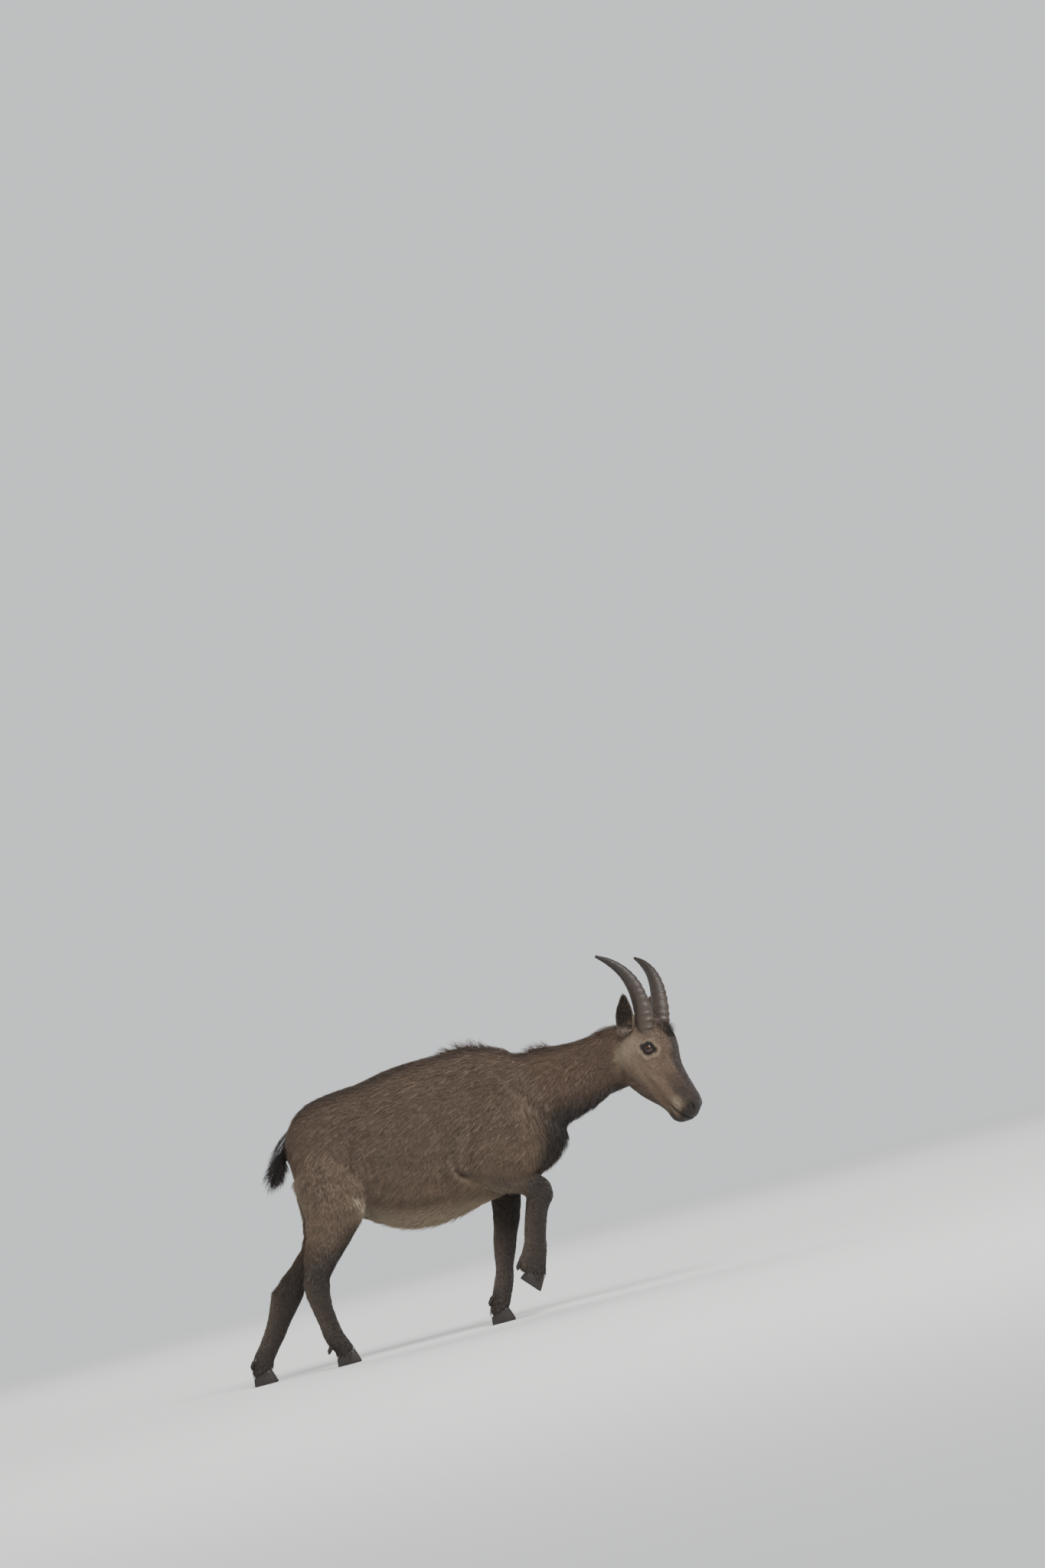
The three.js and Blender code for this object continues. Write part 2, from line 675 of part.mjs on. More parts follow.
const [withoutHead, headBlank] = part(whole, [506, -58, 600], new THREE.Vector3(0.85, -0.45, -0.25), 460);
const [withoutNeck, neckBlank] = part(withoutHead, [272, 0, 570], new THREE.Vector3(0.93, 0, 0.368), 460);
let torso = withoutNeck;
for (const [name, side] of [['hindleg_left', 1], ['hindleg_right', -1]]) {
  const region = thighRegion(side);
  limbs[name] = torso.intersect(region);
  const slack = union([[GAP, 0, 0], [-GAP, 0, 0], [0, 0, GAP], [0, -side * GAP, 0]].map((by) => region.translate(by)));
  torso = torso.subtract(slack);
}

node('torso', union([torso, ...crest(WITHERS, 7), ...bellyFringe(), ...brisket()]), COLOURS.coat);
node('neck', union([neckBlank, ...crest(NAPE, 11)]), COLOURS.neck);
node('head', union([dressHead(headBlank), ...forelock()]), COLOURS.head);

for (const [word, side] of [['left', 1], ['right', -1]]) {
  node(`eye_${word}`, moved(ball(EYE_RADIUS - 0.3, EYE_PLACE(side), [1, 1, 1], 12), headFrame), COLOURS.eye, 0.15);
  node(`horn_${word}`, moved(horn(side), headFrame).subtract(clearance), COLOURS.horn, 0.6);
  node(`ear_${word}`, moved(ear(side), headFrame).subtract(clearance), COLOURS.head);
}

const tailCore = loft(TAIL.map(([x, z, half, deep]) => [x, 0, z, half, deep, deep]), { around: 12, steps: 1 });
node('tail', union([tailCore, ...brush()]).subtract(clearance), COLOURS.tail);

for (const [leg, foot] of Object.entries(FEET)) {
  const [knee, fetlock] = JOINTS[leg].map(([at, heading]) => [at, new THREE.Vector3(...heading)]);
  const [upper, belowKnee] = part(limbs[leg], ...knee);
  const [cannon, belowFetlock] = part(belowKnee, ...fetlock);
  const frame = footFrame(foot);
  const coronet = new THREE.Vector3(0, 0, CORONET_HEIGHT).applyMatrix4(frame).toArray();
  const tilt = CORONET_TILT.clone().transformDirection(frame).negate();
  const pastern = part(belowFetlock, coronet, tilt, 160)[0];
  node(`${leg}_${leg.startsWith('fore') ? 'forearm' : 'thigh'}`, upper, COLOURS.legs);
  node(`${leg}_cannon`, cannon, COLOURS.legs);
  node(`${leg}_pastern`, pastern, COLOURS.legs);
  const inward = leg.endsWith('left') ? -1 : 1;
  for (const [word, side] of [['inner', inward], ['outer', -inward]]) {
    node(`${leg}_claw_${word}`, claw(side, foot), COLOURS.hoof, 0.5);
    node(`${leg}_dewclaw_${word}`, dewclaw(side, foot.dew).subtract(limbClearance[leg]), COLOURS.hoof, 0.5);
  }
}

// Her box stands on the origin, on its middle
const box = new THREE.Box3().setFromObject(model);
model.position.set(-(box.min.x + box.max.x) / 2, -(box.min.y + box.max.y) / 2, 0);

export default model;
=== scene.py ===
# %% [markdown]
# An alpine ibex, a nanny that walks up a slope and looks down to her right, as a life-size still model.
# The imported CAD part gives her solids. This script grows the looks around them: one smooth skin with lids,
# lips and nostrils, a coat of mesh hair, ridged horns, glossy eyes, horn hooves, a studio and a camera.

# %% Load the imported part
import math

import bmesh
import bpy
import numpy as np
from mathutils import Matrix, Vector
from mathutils.kdtree import KDTree


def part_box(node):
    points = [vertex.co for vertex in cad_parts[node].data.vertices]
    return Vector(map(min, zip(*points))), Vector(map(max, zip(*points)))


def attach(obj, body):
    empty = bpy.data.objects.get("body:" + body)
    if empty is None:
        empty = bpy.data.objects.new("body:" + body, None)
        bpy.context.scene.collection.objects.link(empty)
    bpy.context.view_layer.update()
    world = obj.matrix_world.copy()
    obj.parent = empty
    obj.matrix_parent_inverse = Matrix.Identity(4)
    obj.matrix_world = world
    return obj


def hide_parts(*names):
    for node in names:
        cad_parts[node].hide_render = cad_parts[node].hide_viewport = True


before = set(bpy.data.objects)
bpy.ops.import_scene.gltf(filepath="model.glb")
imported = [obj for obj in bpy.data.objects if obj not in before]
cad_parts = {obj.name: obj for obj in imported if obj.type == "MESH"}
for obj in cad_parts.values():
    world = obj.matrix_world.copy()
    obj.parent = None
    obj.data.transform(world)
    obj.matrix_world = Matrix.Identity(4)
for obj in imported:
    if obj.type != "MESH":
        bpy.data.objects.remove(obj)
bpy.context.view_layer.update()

# %% [markdown]
# She is built in a level frame, while the picture shows her on a slope, with her head turned to the camera.
# The eyeballs are the surest landmark on her head, so their boxes give the head's own frame: x runs down
# the face to the nose, y to her left and z out of the forehead. The rest of the body is placed from there.

# %% The slope and the head's frame
MM = 0.001
HILL = math.radians(14.8)
HEAD_TURN = math.radians(35)
HEAD_DROP = math.radians(51.6)
HEAD_PLACE = Vector((590, -106, 585)) * MM  # in her own level frame, midway between the eyes
EYE_AHEAD = Vector((2, 0, 2)) * MM  # the eyeballs' centres from that place

head_turn = (
    Matrix.Rotation(HILL, 3, "Y") @ Matrix.Rotation(-HEAD_TURN, 3, "Z") @ Matrix.Rotation(HEAD_DROP, 3, "Y")
)


def centre_of(node):
    low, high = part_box(node)
    return (low + high) / 2


SIDES_OF_HER = {1: "left", -1: "right"}
eye_centres = {side: centre_of(f"eye_{word}") for side, word in SIDES_OF_HER.items()}
head_origin = (eye_centres[1] + eye_centres[-1]) / 2 - head_turn @ EYE_AHEAD
shift = head_origin - HEAD_PLACE  # from her level frame to the part's
head_axes = np.array(head_turn)


def in_head(co):
    """Points in the head's frame, in millimetres."""
    return (co - np.array(head_origin)) @ head_axes / MM


def in_level(co):
    """Points in her level frame, in millimetres."""
    return (co - np.array(shift)) / MM


print("shift", [round(s, 4) for s in shift])
print("eyes", [[round(c, 3) for c in centre] for centre in eye_centres.values()])

# %% [markdown]
# The camera of the picture stood level on her right, far away, and looked up a little. In her level frame the
# whole picture is turned by the slope, so the camera is worked out on the slope and then turned with it.

# %% Camera
CAMERA_ON_SLOPE = Vector((675, -15500, 676)) * MM
SLOPE_START = Vector((627, 0, 0)) * MM
CAMERA_PITCH = math.radians(3.3)
FOCAL = 136.2
SENSOR = 36


def placed(name, data):
    """A new object of the scene."""
    piece = bpy.data.objects.new(name, data)
    bpy.context.scene.collection.objects.link(piece)
    return piece


to_level = Matrix.Rotation(HILL, 3, "Y")
camera = placed("camera", bpy.data.cameras.new("camera"))
camera.data.lens = FOCAL
camera.data.sensor_width = SENSOR
looking = to_level @ Vector((0, math.cos(CAMERA_PITCH), math.sin(CAMERA_PITCH)))
upward = to_level @ Vector((0, -math.sin(CAMERA_PITCH), math.cos(CAMERA_PITCH)))
place = to_level @ CAMERA_ON_SLOPE - SLOPE_START + shift
axes = Matrix((looking.cross(upward), upward, -looking)).transposed()
camera.matrix_world = Matrix.Translation(place) @ axes.to_4x4()
bpy.context.scene.camera = camera
print("camera at", [round(c, 3) for c in place])

# %% [markdown]
# A studio shows a coat best with one large soft light from above, a weaker one from the other side and one
# from behind that lights the hair along the outline. They hang far off, so the floor is lit evenly.

# %% Lights and floor
# where each softbox hangs, its width in metres and its watts
LIGHTS = {
    "key": ((3.4, -6.0, 8.0), 5.0, 1900),
    "fill": ((-7.5, -5.5, 3.0), 6.0, 200),
    "back": ((-2.0, 7.0, 7.0), 6.0, 1000),
    "far_side": ((6.5, 5.5, 3.6), 6.0, 260),
}
LOOK_AT = Vector((0, 0, 0.45))
ROOM_STRENGTH = 0.9
FLOOR_RADIUS = 14.0
FLOOR_CORNERS = 64

for name, (position, size, watts) in LIGHTS.items():
    lamp = bpy.data.lights.new(name, "AREA")
    lamp.energy = watts
    lamp.size = size
    holder = placed(name, lamp)
    holder.location = position
    holder.visible_glossy = name == "key"  # one catch light in the eyes is enough
    holder.rotation_euler = (LOOK_AT - Vector(position)).to_track_quat("-Z", "Y").to_euler()

world = bpy.data.worlds.new("studio")
bpy.context.scene.world = world
world.use_nodes = True
sky = world.node_tree.nodes["Background"]
sky.inputs["Strength"].default_value = ROOM_STRENGTH


def mesh_object(name, verts, faces):
    mesh = bpy.data.meshes.new(name)
    mesh.from_pydata([tuple(v) for v in verts], [], [tuple(f) for f in faces])
    mesh.update()
    return placed(name, mesh)


turns = [2 * math.pi * k / FLOOR_CORNERS for k in range(FLOOR_CORNERS)]
rim = [(FLOOR_RADIUS * math.cos(turn), FLOOR_RADIUS * math.sin(turn), 0) for turn in turns]
floor = mesh_object("studio_floor", rim, [range(FLOOR_CORNERS)])
print("lights", list(LIGHTS), "floor radius", FLOOR_RADIUS)

# %% [markdown]
# Shader maths reads best as arithmetic. This class wraps a node's output socket, so that sums and products of
# masks are written as Python expressions, and every other node comes from one method.

# %% A socket that does arithmetic


def signs(operation):
    """The method for an arithmetic sign and the one for its reflected form, as in 1 - mask."""
    return (
        lambda self, other: self.math(operation, self, other),
        lambda self, other: self.math(operation, other, self),
    )


class Wire:
    def __init__(self, tree, socket=None):
        self.tree = tree
        self.socket = socket

    def plug(self, target, value):
        if isinstance(value, Wire):
            self.tree.links.new(value.socket, target)
        else:
            target.default_value = value

    def node(self, kind, settings=None, sockets=None, output=0):
        """An output of a new node: first its settings are set, then its sockets' values or links."""
        made = self.tree.nodes.new(kind)
        for key, value in (settings or {}).items():
            setattr(made, key, value)
        for key, value in (sockets or {}).items():
            self.plug(made.inputs[key], value)
        return Wire(self.tree, made.outputs[output])

    def math(self, operation, *terms):
        return self.node("ShaderNodeMath", {"operation": operation}, dict(enumerate(terms)))

    __add__, __radd__ = signs("ADD")
    __sub__, __rsub__ = signs("SUBTRACT")
    __mul__, __rmul__ = signs("MULTIPLY")
    __truediv__, __rtruediv__ = signs("DIVIDE")
    __pow__, __rpow__ = signs("POWER")

    def between(self, low, high):
        """0 below low, 1 above high, with a soft step."""
        sockets = {"Value": self, "From Min": low, "From Max": high}
        return self.node("ShaderNodeMapRange", {"interpolation_type": "SMOOTHSTEP"}, sockets)

    def mix(self, first, second):
        """The colour first where this mask is 0, second where it is 1."""
        return self.node("ShaderNodeMix", {"data_type": "RGBA"}, {0: self, 6: first, 7: second}, 2)

    def noise(self, scale, detail):
        """Fine noise at the places that this socket gives."""
        return self.node("ShaderNodeTexNoise", None, {"Vector": self, "Scale": scale, "Detail": detail})

    def bump(self, distance, strength):
        """Normals of a surface that rises where this socket is high."""
        return self.node("ShaderNodeBump", None, {"Height": self, "Distance": distance, "Strength": strength})


def colour_of(text):
    """A linear colour from six hexadecimal digits."""
    parts = [int(text[k : k + 2], 16) / 255 for k in (0, 2, 4)]
    return tuple(p / 12.92 if p <= 0.04045 else ((p + 0.055) / 1.055) ** 2.4 for p in parts)


def opaque(text):
    """The same with an alpha of 1, as colour sockets want it."""
    return (*colour_of(text), 1)


def finish_for(name, roughness, **constants):
    """A material with its principled shader. Constants go on the shader's own sockets."""
    material = bpy.data.materials.new(name)
    material.use_nodes = True
    shader = material.node_tree.nodes["Principled BSDF"]
    shader.inputs["Roughness"].default_value = roughness
    for key, value in constants.items():
        shader.inputs[key.replace("_", " ")].default_value = value
    return material, shader.inputs, Wire(material.node_tree)


# %% [markdown]
# The floor is a pale disc that fades out a few metres from her, so that no horizon shows, and the room is
# dim overhead.

# %% Finish of the room and the floor
ROOM_EDGE = (0.93, 0.95, 0.97, 1)
ROOM_TOP = (0.26, 0.27, 0.28, 1)
ROOM_DARKENS = (0.3, 0.75)
FLOOR_FADES = (2.5, 12.0)

room = Wire(world.node_tree)
direction = room.node("ShaderNodeTexCoord", output="Generated")
upward_share = room.node("ShaderNodeSeparateXYZ", None, {"Vector": direction}, "Z")
room.plug(sky.inputs["Color"], upward_share.between(*ROOM_DARKENS).mix(ROOM_EDGE, ROOM_TOP))
floor_finish, floor_inputs, floor_wire = finish_for("floor", 0.9, Specular_IOR_Level=0.2)
floor_inputs["Base Color"].default_value = opaque("c2c1bf")
on_floor = floor_wire.node("ShaderNodeTexCoord", output="Object")
from_her = floor_wire.node("ShaderNodeVectorMath", {"operation": "LENGTH"}, {"Vector": on_floor}, "Value")
floor_wire.plug(floor_inputs["Alpha"], 1 - from_her.between(*FLOOR_FADES))
floor.data.materials.append(floor_finish)
print("materials so far:", [m.name for m in bpy.data.materials])

# %% [markdown]
# Her skin is one surface from nose to tail, though the part has a node for each length of a limb. Voxels join
# the flesh nodes. The part's flat locks of long hair must not leave bumps in it, so the flesh is first worn
# away by more than half a lock's thickness, then let out again to just below the hair's roots.

# %% Join the flesh and wear off the locks
VOXEL = 0.004
JOINING_VOXEL = 0.003
WORN = 0.008
GAP_FILL = 0.0004
BAND = 0.020
SAME_POINT = 2e-6
FLESH = ("torso", "neck", "head", "tail", "eye", "forearm", "thigh", "cannon", "pastern", "_claw")
flesh_nodes = [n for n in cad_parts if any(word in n for word in FLESH)]


def read(items, key, width, kind=np.float32):
    """A property of all items of a mesh, one row for each."""
    values = np.empty(len(items) * width, kind)
    items.foreach_get(key, values)
    return values.reshape(-1, width)


def coordinates(piece):
    return read(piece.data.vertices, "co", 3).astype(float)


def normals(piece):
    return read(piece.data.vertex_normals, "vector", 3).astype(float)


def place_points(piece, co):
    piece.data.vertices.foreach_set("co", co.astype(np.float32).ravel())
    piece.data.update()


def joined(name, nodes, grow):
    """Nodes as one mesh, each grown a little so that the thin gaps between them close."""
    together = bmesh.new()
    for node in nodes:
        one = bmesh.new()
        one.from_mesh(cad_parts[node].data)
        bmesh.ops.remove_doubles(one, verts=one.verts, dist=SAME_POINT)
        one.normal_update()
        for v in one.verts:
            v.co += v.normal * grow
        mesh = bpy.data.meshes.new(node)
        one.to_mesh(mesh)
        one.free()
        together.from_mesh(mesh)
        bpy.data.meshes.remove(mesh)
    mesh = bpy.data.meshes.new(name)
    together.to_mesh(mesh)
    together.free()
    return placed(name, mesh)


def apply_modifiers(piece):
    bpy.context.view_layer.objects.active = piece
    for modifier in list(piece.modifiers):
        bpy.ops.object.modifier_apply(modifier=modifier.name)


def worn_away(piece, depth):
    """The surface that lies that deep inside a closed mesh."""
    tree = bpy.data.node_groups.new("wear", "GeometryNodeTree")
    tree.interface.new_socket("Geometry", in_out="INPUT", socket_type="NodeSocketGeometry")
    tree.interface.new_socket("Geometry", in_out="OUTPUT", socket_type="NodeSocketGeometry")
    wire = Wire(tree)
    sockets = {"Mesh": wire.node("NodeGroupInput"), "Voxel Size": VOXEL, "Interior Band Width": BAND}
    fog = wire.node("GeometryNodeMeshToVolume", {"resolution_mode": "VOXEL_SIZE"}, sockets)
    shell = wire.node("GeometryNodeVolumeToMesh", None, {"Volume": fog, "Threshold": depth / BAND})
    wire.plug(tree.nodes.new("NodeGroupOutput").inputs[0], shell)
    piece.modifiers.new("wear", "NODES").node_group = tree
    apply_modifiers(piece)


skin = joined("skin", flesh_nodes, GAP_FILL)
remesh = skin.modifiers.new("join", "REMESH")
remesh.mode = "VOXEL"
remesh.voxel_size = JOINING_VOXEL
apply_modifiers(skin)
worn_away(skin, WORN + GAP_FILL)
print("skin points", len(skin.data.vertices))

# %% [markdown]
# Each point of the skin learns which node it lies on. From that it takes the depth, length and lift of its
# hair. These values are spread over neighbouring points, so one kind of coat runs smoothly into the next.

# %% Facts of the coat on each part of the body
# depth of the coat, hair length, lift in degrees, hair width, hairs per square centimetre; all lengths in mm
COAT = {
    "torso": (4.5, 25, 15, 1.25, 8.8),
    "neck": (4.5, 25, 16, 1.2, 10.0),
    "thigh": (4.0, 20, 12, 1.2, 10.0),
    "forearm": (1.8, 12, 9, 0.9, 14.0),
    "cannon": (0.6, 7, 6, 0.75, 17.0),
    "pastern": (0.4, 12, 8, 0.85, 17.0),
    "head": (1.0, 6.5, 8, 0.6, 24.0),
    "tail": (1.5, 26, 14, 1.2, 10.0),
    "eye": (0.5, 4, 8, 0.5, 12.0),
    "claw": (3.0, 22, 50, 0.9, 9.0),  # only its fringe shows, over the top of the hoof
}
SMOOTH_ROUNDS = 50
SPREAD_ROUNDS = 50
JOINT_ROUNDS = 320
JOINTS_FROM = (0.40, 0.50)  # only joints above these heights, in metres, are smoothed further
SHRINK, REGROW = 0.5, -0.53


def edges_of(piece):
    return read(piece.data.edges, "vertices", 2, np.int32)


def spread(values, ends, rounds, share=0.5):
    """Average each point with its neighbours, a number of times."""
    a, b = ends[:, 0], ends[:, 1]
    count = len(values)
    near = np.maximum(np.bincount(a, minlength=count) + np.bincount(b, minlength=count), 1)
    flat = values.reshape(count, -1).copy()
    for _ in range(rounds):
        for k in range(flat.shape[1]):
            column = flat[:, k]
            total = np.bincount(a, column[b], count) + np.bincount(b, column[a], count)
            flat[:, k] = column + share * (total / near - column)
    return flat.reshape(values.shape)


def smooth_shape(co, ends, rounds):
    """Smooth away facets with no loss of volume: one step inward, one slightly larger step outward."""
    for _ in range(rounds):
        co = spread(co, ends, 1, SHRINK)
        co = spread(co, ends, 1, REGROW)
    return co


def step(value, low, high):
    share = np.clip((value - low) / (high - low), 0, 1)
    return share * share * (3 - 2 * share)


def unit(vectors):
    return vectors / np.maximum(np.linalg.norm(vectors, axis=-1, keepdims=True), 1e-12)


def point_tree(points):
    tree = KDTree(len(points))
    for k, point in enumerate(points):
        tree.insert(point, k)
    tree.balance()
    return tree


def nearest_nodes(co, nodes):
    """For each point the index of the CAD node that it lies nearest to."""
    tree_points, owner = [], []
    for index, node in enumerate(nodes):
        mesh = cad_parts[node].data
        corners = coordinates(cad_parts[node])
        triangles = np.array([p.vertices[:3] for p in mesh.polygons])
        middles = corners[triangles].mean(1)
        tree_points += [corners, middles]
        owner += [index] * (len(corners) + len(middles))
    tree = point_tree(np.concatenate(tree_points))
    return np.array([owner[tree.find(point)[1]] for point in co])


def kind_of(node):
    return next(kind for kind in COAT if kind in node)


ends = edges_of(skin)
co = smooth_shape(coordinates(skin), ends, SMOOTH_ROUNDS)
owners = nearest_nodes(co, flesh_nodes)
is_torso = spread((np.array(flesh_nodes)[owners] == "torso").astype(float), ends, 3 * SPREAD_ROUNDS)
near_joint = np.clip(5 * is_torso * (1 - is_torso), 0, 1)[:, None]
co = co + (spread(co, ends, JOINT_ROUNDS) - co) * near_joint * step(co[:, 2], *JOINTS_FROM)[:, None]
place_points(skin, co)
facts = np.array([COAT[kind_of(n)] for n in flesh_nodes])[owners]
facts = spread(facts, ends, SPREAD_ROUNDS)
out = unit(spread(normals(skin), ends, 2))
co = co + out * (WORN - facts[:, :1] * MM)
place_points(skin, co)
print("coat depth from", facts[:, 0].min().round(2), "to", facts[:, 0].max().round(2), "mm")

# %% [markdown]
# Muscles show through a short summer coat: the upper arm with a fold behind and below it, the hollow of the
# flank, the front of the thigh. Each is a soft mound or fold, placed in her level frame as seen from the
# side. Her left limbs stand elsewhere than her right ones, so each group has its own step.

# %% Muscles and folds
# x and z in her level frame, reach along x and z, height; all in mm
SHOULDER_MOUNDS = [
    ((96, 446), (56, 52), 12.0),  # upper arm
    ((190, 486), (38, 44), 6.0),  # point of the shoulder
    ((118, 606), (34, 56), 4.5),  # shoulder blade
    ((-20, 480), (24, 74), -7.0),  # hollow behind the shoulder
    ((248, 596), (22, 50), -4.5),  # hollow before the shoulder
]
HAUNCH_MOUNDS = [
    ((-186, 606), (50, 34), -4.5),  # hollow of the flank
    ((-262, 652), (26, 18), 3.0),  # point of the hip
    ((-330, 520), (44, 60), 5.0),  # thigh
    ((-382, 610), (18, 26), 2.0),  # seat bone
]
# depth, width and the line of each fold
ARM_FOLD = (9.0, 12, [(34, 504), (12, 479), (3, 450), (5, 412), (19, 400)])
ELBOW_FOLD = (8.0, 11, [(19, 400), (70, 368), (95, 342), (150, 318)])
THIGH_FOLD = (5.5, 14, [(-233, 574), (-251, 538), (-265, 500), (-270, 450), (-263, 413)])
STIFLE_FOLD = (6.0, 11, [(-263, 413), (-249, 372), (-238, 336)])
# the mounds and folds of her right side, and the step from there to her left limb
SHOULDER = (SHOULDER_MOUNDS, (ARM_FOLD, ELBOW_FOLD), (72, -22))
HAUNCH = (HAUNCH_MOUNDS, (THIGH_FOLD, STIFLE_FOLD), (-64, 0))
FACING = (0.15, 0.6)


def line_distance(flat, line):
    """Distance from a line of points in a plane."""
    line = np.array(line, float)
    best = np.full(len(flat), np.inf)
    for a, b in zip(line[:-1], line[1:]):
        along = b - a
        share = np.clip((flat - a) @ along / along.dot(along), 0, 1)
        best = np.minimum(best, np.linalg.norm(flat - a - share[:, None] * along, axis=1))
    return best


def near_line(flat, line, width):
    """1 on a line, falling to 0 a few widths from it."""
    return np.exp(-((line_distance(flat, line) / width) ** 2))


def blob(points, centre, reach):
    """1 at a centre, falling to 0 over the reach along each axis."""
    return np.exp(-0.5 * (((points - np.array(centre)) / np.array(reach)) ** 2).sum(1))


def seen_from(side, flat, out, left_step):
    """How squarely points face her one side, and where they lie from that side's own limb."""
    return step(side * out[:, 1], *FACING), flat - (np.array(left_step) if side > 0 else 0)


def relief(co, out):
    flat = in_level(co)[:, [0, 2]]
    lift = np.zeros(len(co))
    for side in SIDES_OF_HER:
        for mounds, folds, left_step in (SHOULDER, HAUNCH):
            facing, seen = seen_from(side, flat, out, left_step)
            for place, reach, height in mounds:
                lift += facing * height * blob(seen, place, reach)
            for depth, width, line in folds:
                lift -= facing * depth * near_line(seen, line, width)
    return lift


trunk_names = np.array([kind_of(n) in ("torso", "neck", "thigh", "forearm") for n in flesh_nodes])
on_trunk = spread(trunk_names[owners].astype(float), ends, SPREAD_ROUNDS)
out = normals(skin)
lifted = relief(co, out) * on_trunk
co = co + out * lifted[:, None] * MM
place_points(skin, co)
print("relief from", lifted.min().round(1), "to", lifted.max().round(1), "mm")

# %% [markdown]
# The body's surface does well with points 4 mm apart. The face needs them closer, and the lids closer still.
# Only the edges there are split, which leaves the rest of the mesh as it is.

# %% Finer mesh on the face
FACE_FROM = -90
LID_REACH = 34
RIM_REACH = 26


def refine(piece, chosen):
    """Split every edge whose two ends are chosen."""
    mesh = bmesh.new()
    mesh.from_mesh(piece.data)
    mesh.verts.ensure_lookup_table()
    edges = [e for e in mesh.edges if chosen[e.verts[0].index] and chosen[e.verts[1].index]]
    bmesh.ops.subdivide_edges(mesh, edges=edges, cuts=1, use_grid_fill=True, smooth=0.0)
    bmesh.ops.triangulate(mesh, faces=[f for f in mesh.faces if len(f.verts) > 4])
    mesh.to_mesh(piece.data)
    mesh.free()
    piece.data.update()


def on_face(co):
    return in_head(co)[:, 0] > FACE_FROM


def near_eye(co, reach):
    close = [np.linalg.norm(co - np.array(centre), axis=1) < reach * MM for centre in eye_centres.values()]
    return np.any(close, axis=0)


def carry(values, before, after):
    """Give each point of a finer mesh the value of the nearest point before."""
    tree = point_tree(before)
    return values[[tree.find(point)[1] for point in after]]


coarse = coordinates(skin)
in_front = coarse[:, 0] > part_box("head")[0].x
refine(skin, on_face(coarse) & in_front)
for reach in (LID_REACH, RIM_REACH):
    refine(skin, near_eye(coordinates(skin), reach))
co = coordinates(skin)
facts = carry(facts, coarse, co)
owners = carry(owners, coarse, co)
print("skin points with the finer face", len(co))

# %% [markdown]
# The face is modelled by small, smooth moves of the skin along its normals, each a soft mound or hollow at a
# named place in the head's frame: brows, cheek muscle, the bone under the eye, lips and chin. The lids are
# different: points round the eye are laid on a ball just larger than the eyeball, with a lens-shaped opening.

# %% Model the face
# place in the head's frame, reach along x, y and z, height; all in mm
FACE_MOUNDS = [
    ((-12, 49, 25), (17, 12, 7), 7.0),  # brow over the eye
    ((-50, 50, -8), (15, 14, 14), -4.5),  # hollow behind the eye
    ((30, 46, -20), (22, 12, 6), 4.0),  # rim of bone under the eye
    ((66, 40, -36), (36, 12, 6), 4.0),  # ridge of the cheek bone
    ((40, 38, 12), (14, 10, 9), -4.0),  # hollow before the eye
    ((10, 52, -68), (28, 14, 24), 5.5),  # cheek muscle
    ((54, 46, -88), (15, 16, 11), -4.0),  # edge of the cheek muscle
    ((98, 32, -12), (34, 10, 10), -4.5),  # hollow beside the nose
    ((110, 20, 16), (50, 6, 6), 2.4),  # edge of the nasal bone
    ((122, 30, -56), (26, 12, 7), -3.0),  # over the lower jaw
    ((186, 24, 6), (8, 8, 8), 4.0),  # wing of the nostril
    ((166, 26, -20), (13, 12, 10), 3.2),  # pad of the upper lip
    ((192, 18, -26), (10, 14, 6), 2.4),  # front of the upper lip
    ((180, 16, -60), (12, 16, 8), 3.0),  # lower lip and chin
    ((146, 33, -48), (8, 9, 5), -2.4),  # corner of the mouth
]
MOUTH = [(150, -45), (158, -43), (176, -39), (192, -33), (207, -27)]
MOUTH_WIDTH = 1.5
MOUTH_DEPTH = 4.2
NOSTRIL = (192, 19, 1)
NOSTRIL_SLIT = (-0.72, 0.4, 0.57)
NOSTRIL_SIZE = (9.0, 3.0)
NOSTRIL_DEPTH = 9.0
EYE_RADIUS = 16.2
SOCKET_UNDER = 3.0
LID_OVER = 1.7
OPENING = (15.2, 9.8)  # half its length and half its height
LENS_CURVE = 0.8
LID_BLEND = 12.0
EYE_LOOK = (0.25, 0.93, 0.24)
EYE_CORNER = (0.78, 0, 0.62)
LID_FOLD = (8.5, 2.2, 1.6)  # how far over the opening, width, depth
UP = head_axes.T @ np.array((0, 0, 1))


def eye_axes(side):
    """Columns: towards the front corner of the lids, across the opening, and out of the head."""
    look = unit(np.array(EYE_LOOK) * (1, side, 1))
    corner = np.array(EYE_CORNER)
    corner = unit(corner - look * corner.dot(look))
    return np.stack([corner, np.cross(look, corner), look], axis=1)


def eye_centre(side):
    return in_head(np.array([eye_centres[side]]))[0]


def in_eye(local, side):
    """Head points seen from the eyeball's centre, in its own axes."""
    return (local - eye_centre(side)) @ eye_axes(side)


def opening_edge(seen):
    """How far outside the lids' opening a point lies, in mm; below 0 inside it."""
    half, high = OPENING
    along, over = np.abs(seen[:, 0]), np.abs(seen[:, 1])
    lens = high * (1 - np.clip(along / half, 0, 1) ** 2) ** LENS_CURVE
    outside = np.hypot(np.maximum(over - lens, 0), np.maximum(along - half, 0))
    return outside - np.maximum(lens - over, 0)


def near_mouth(local, width):
    """1 on the line of the mouth as seen from the side."""
    return near_line(local[:, [0, 2]], MOUTH, width)


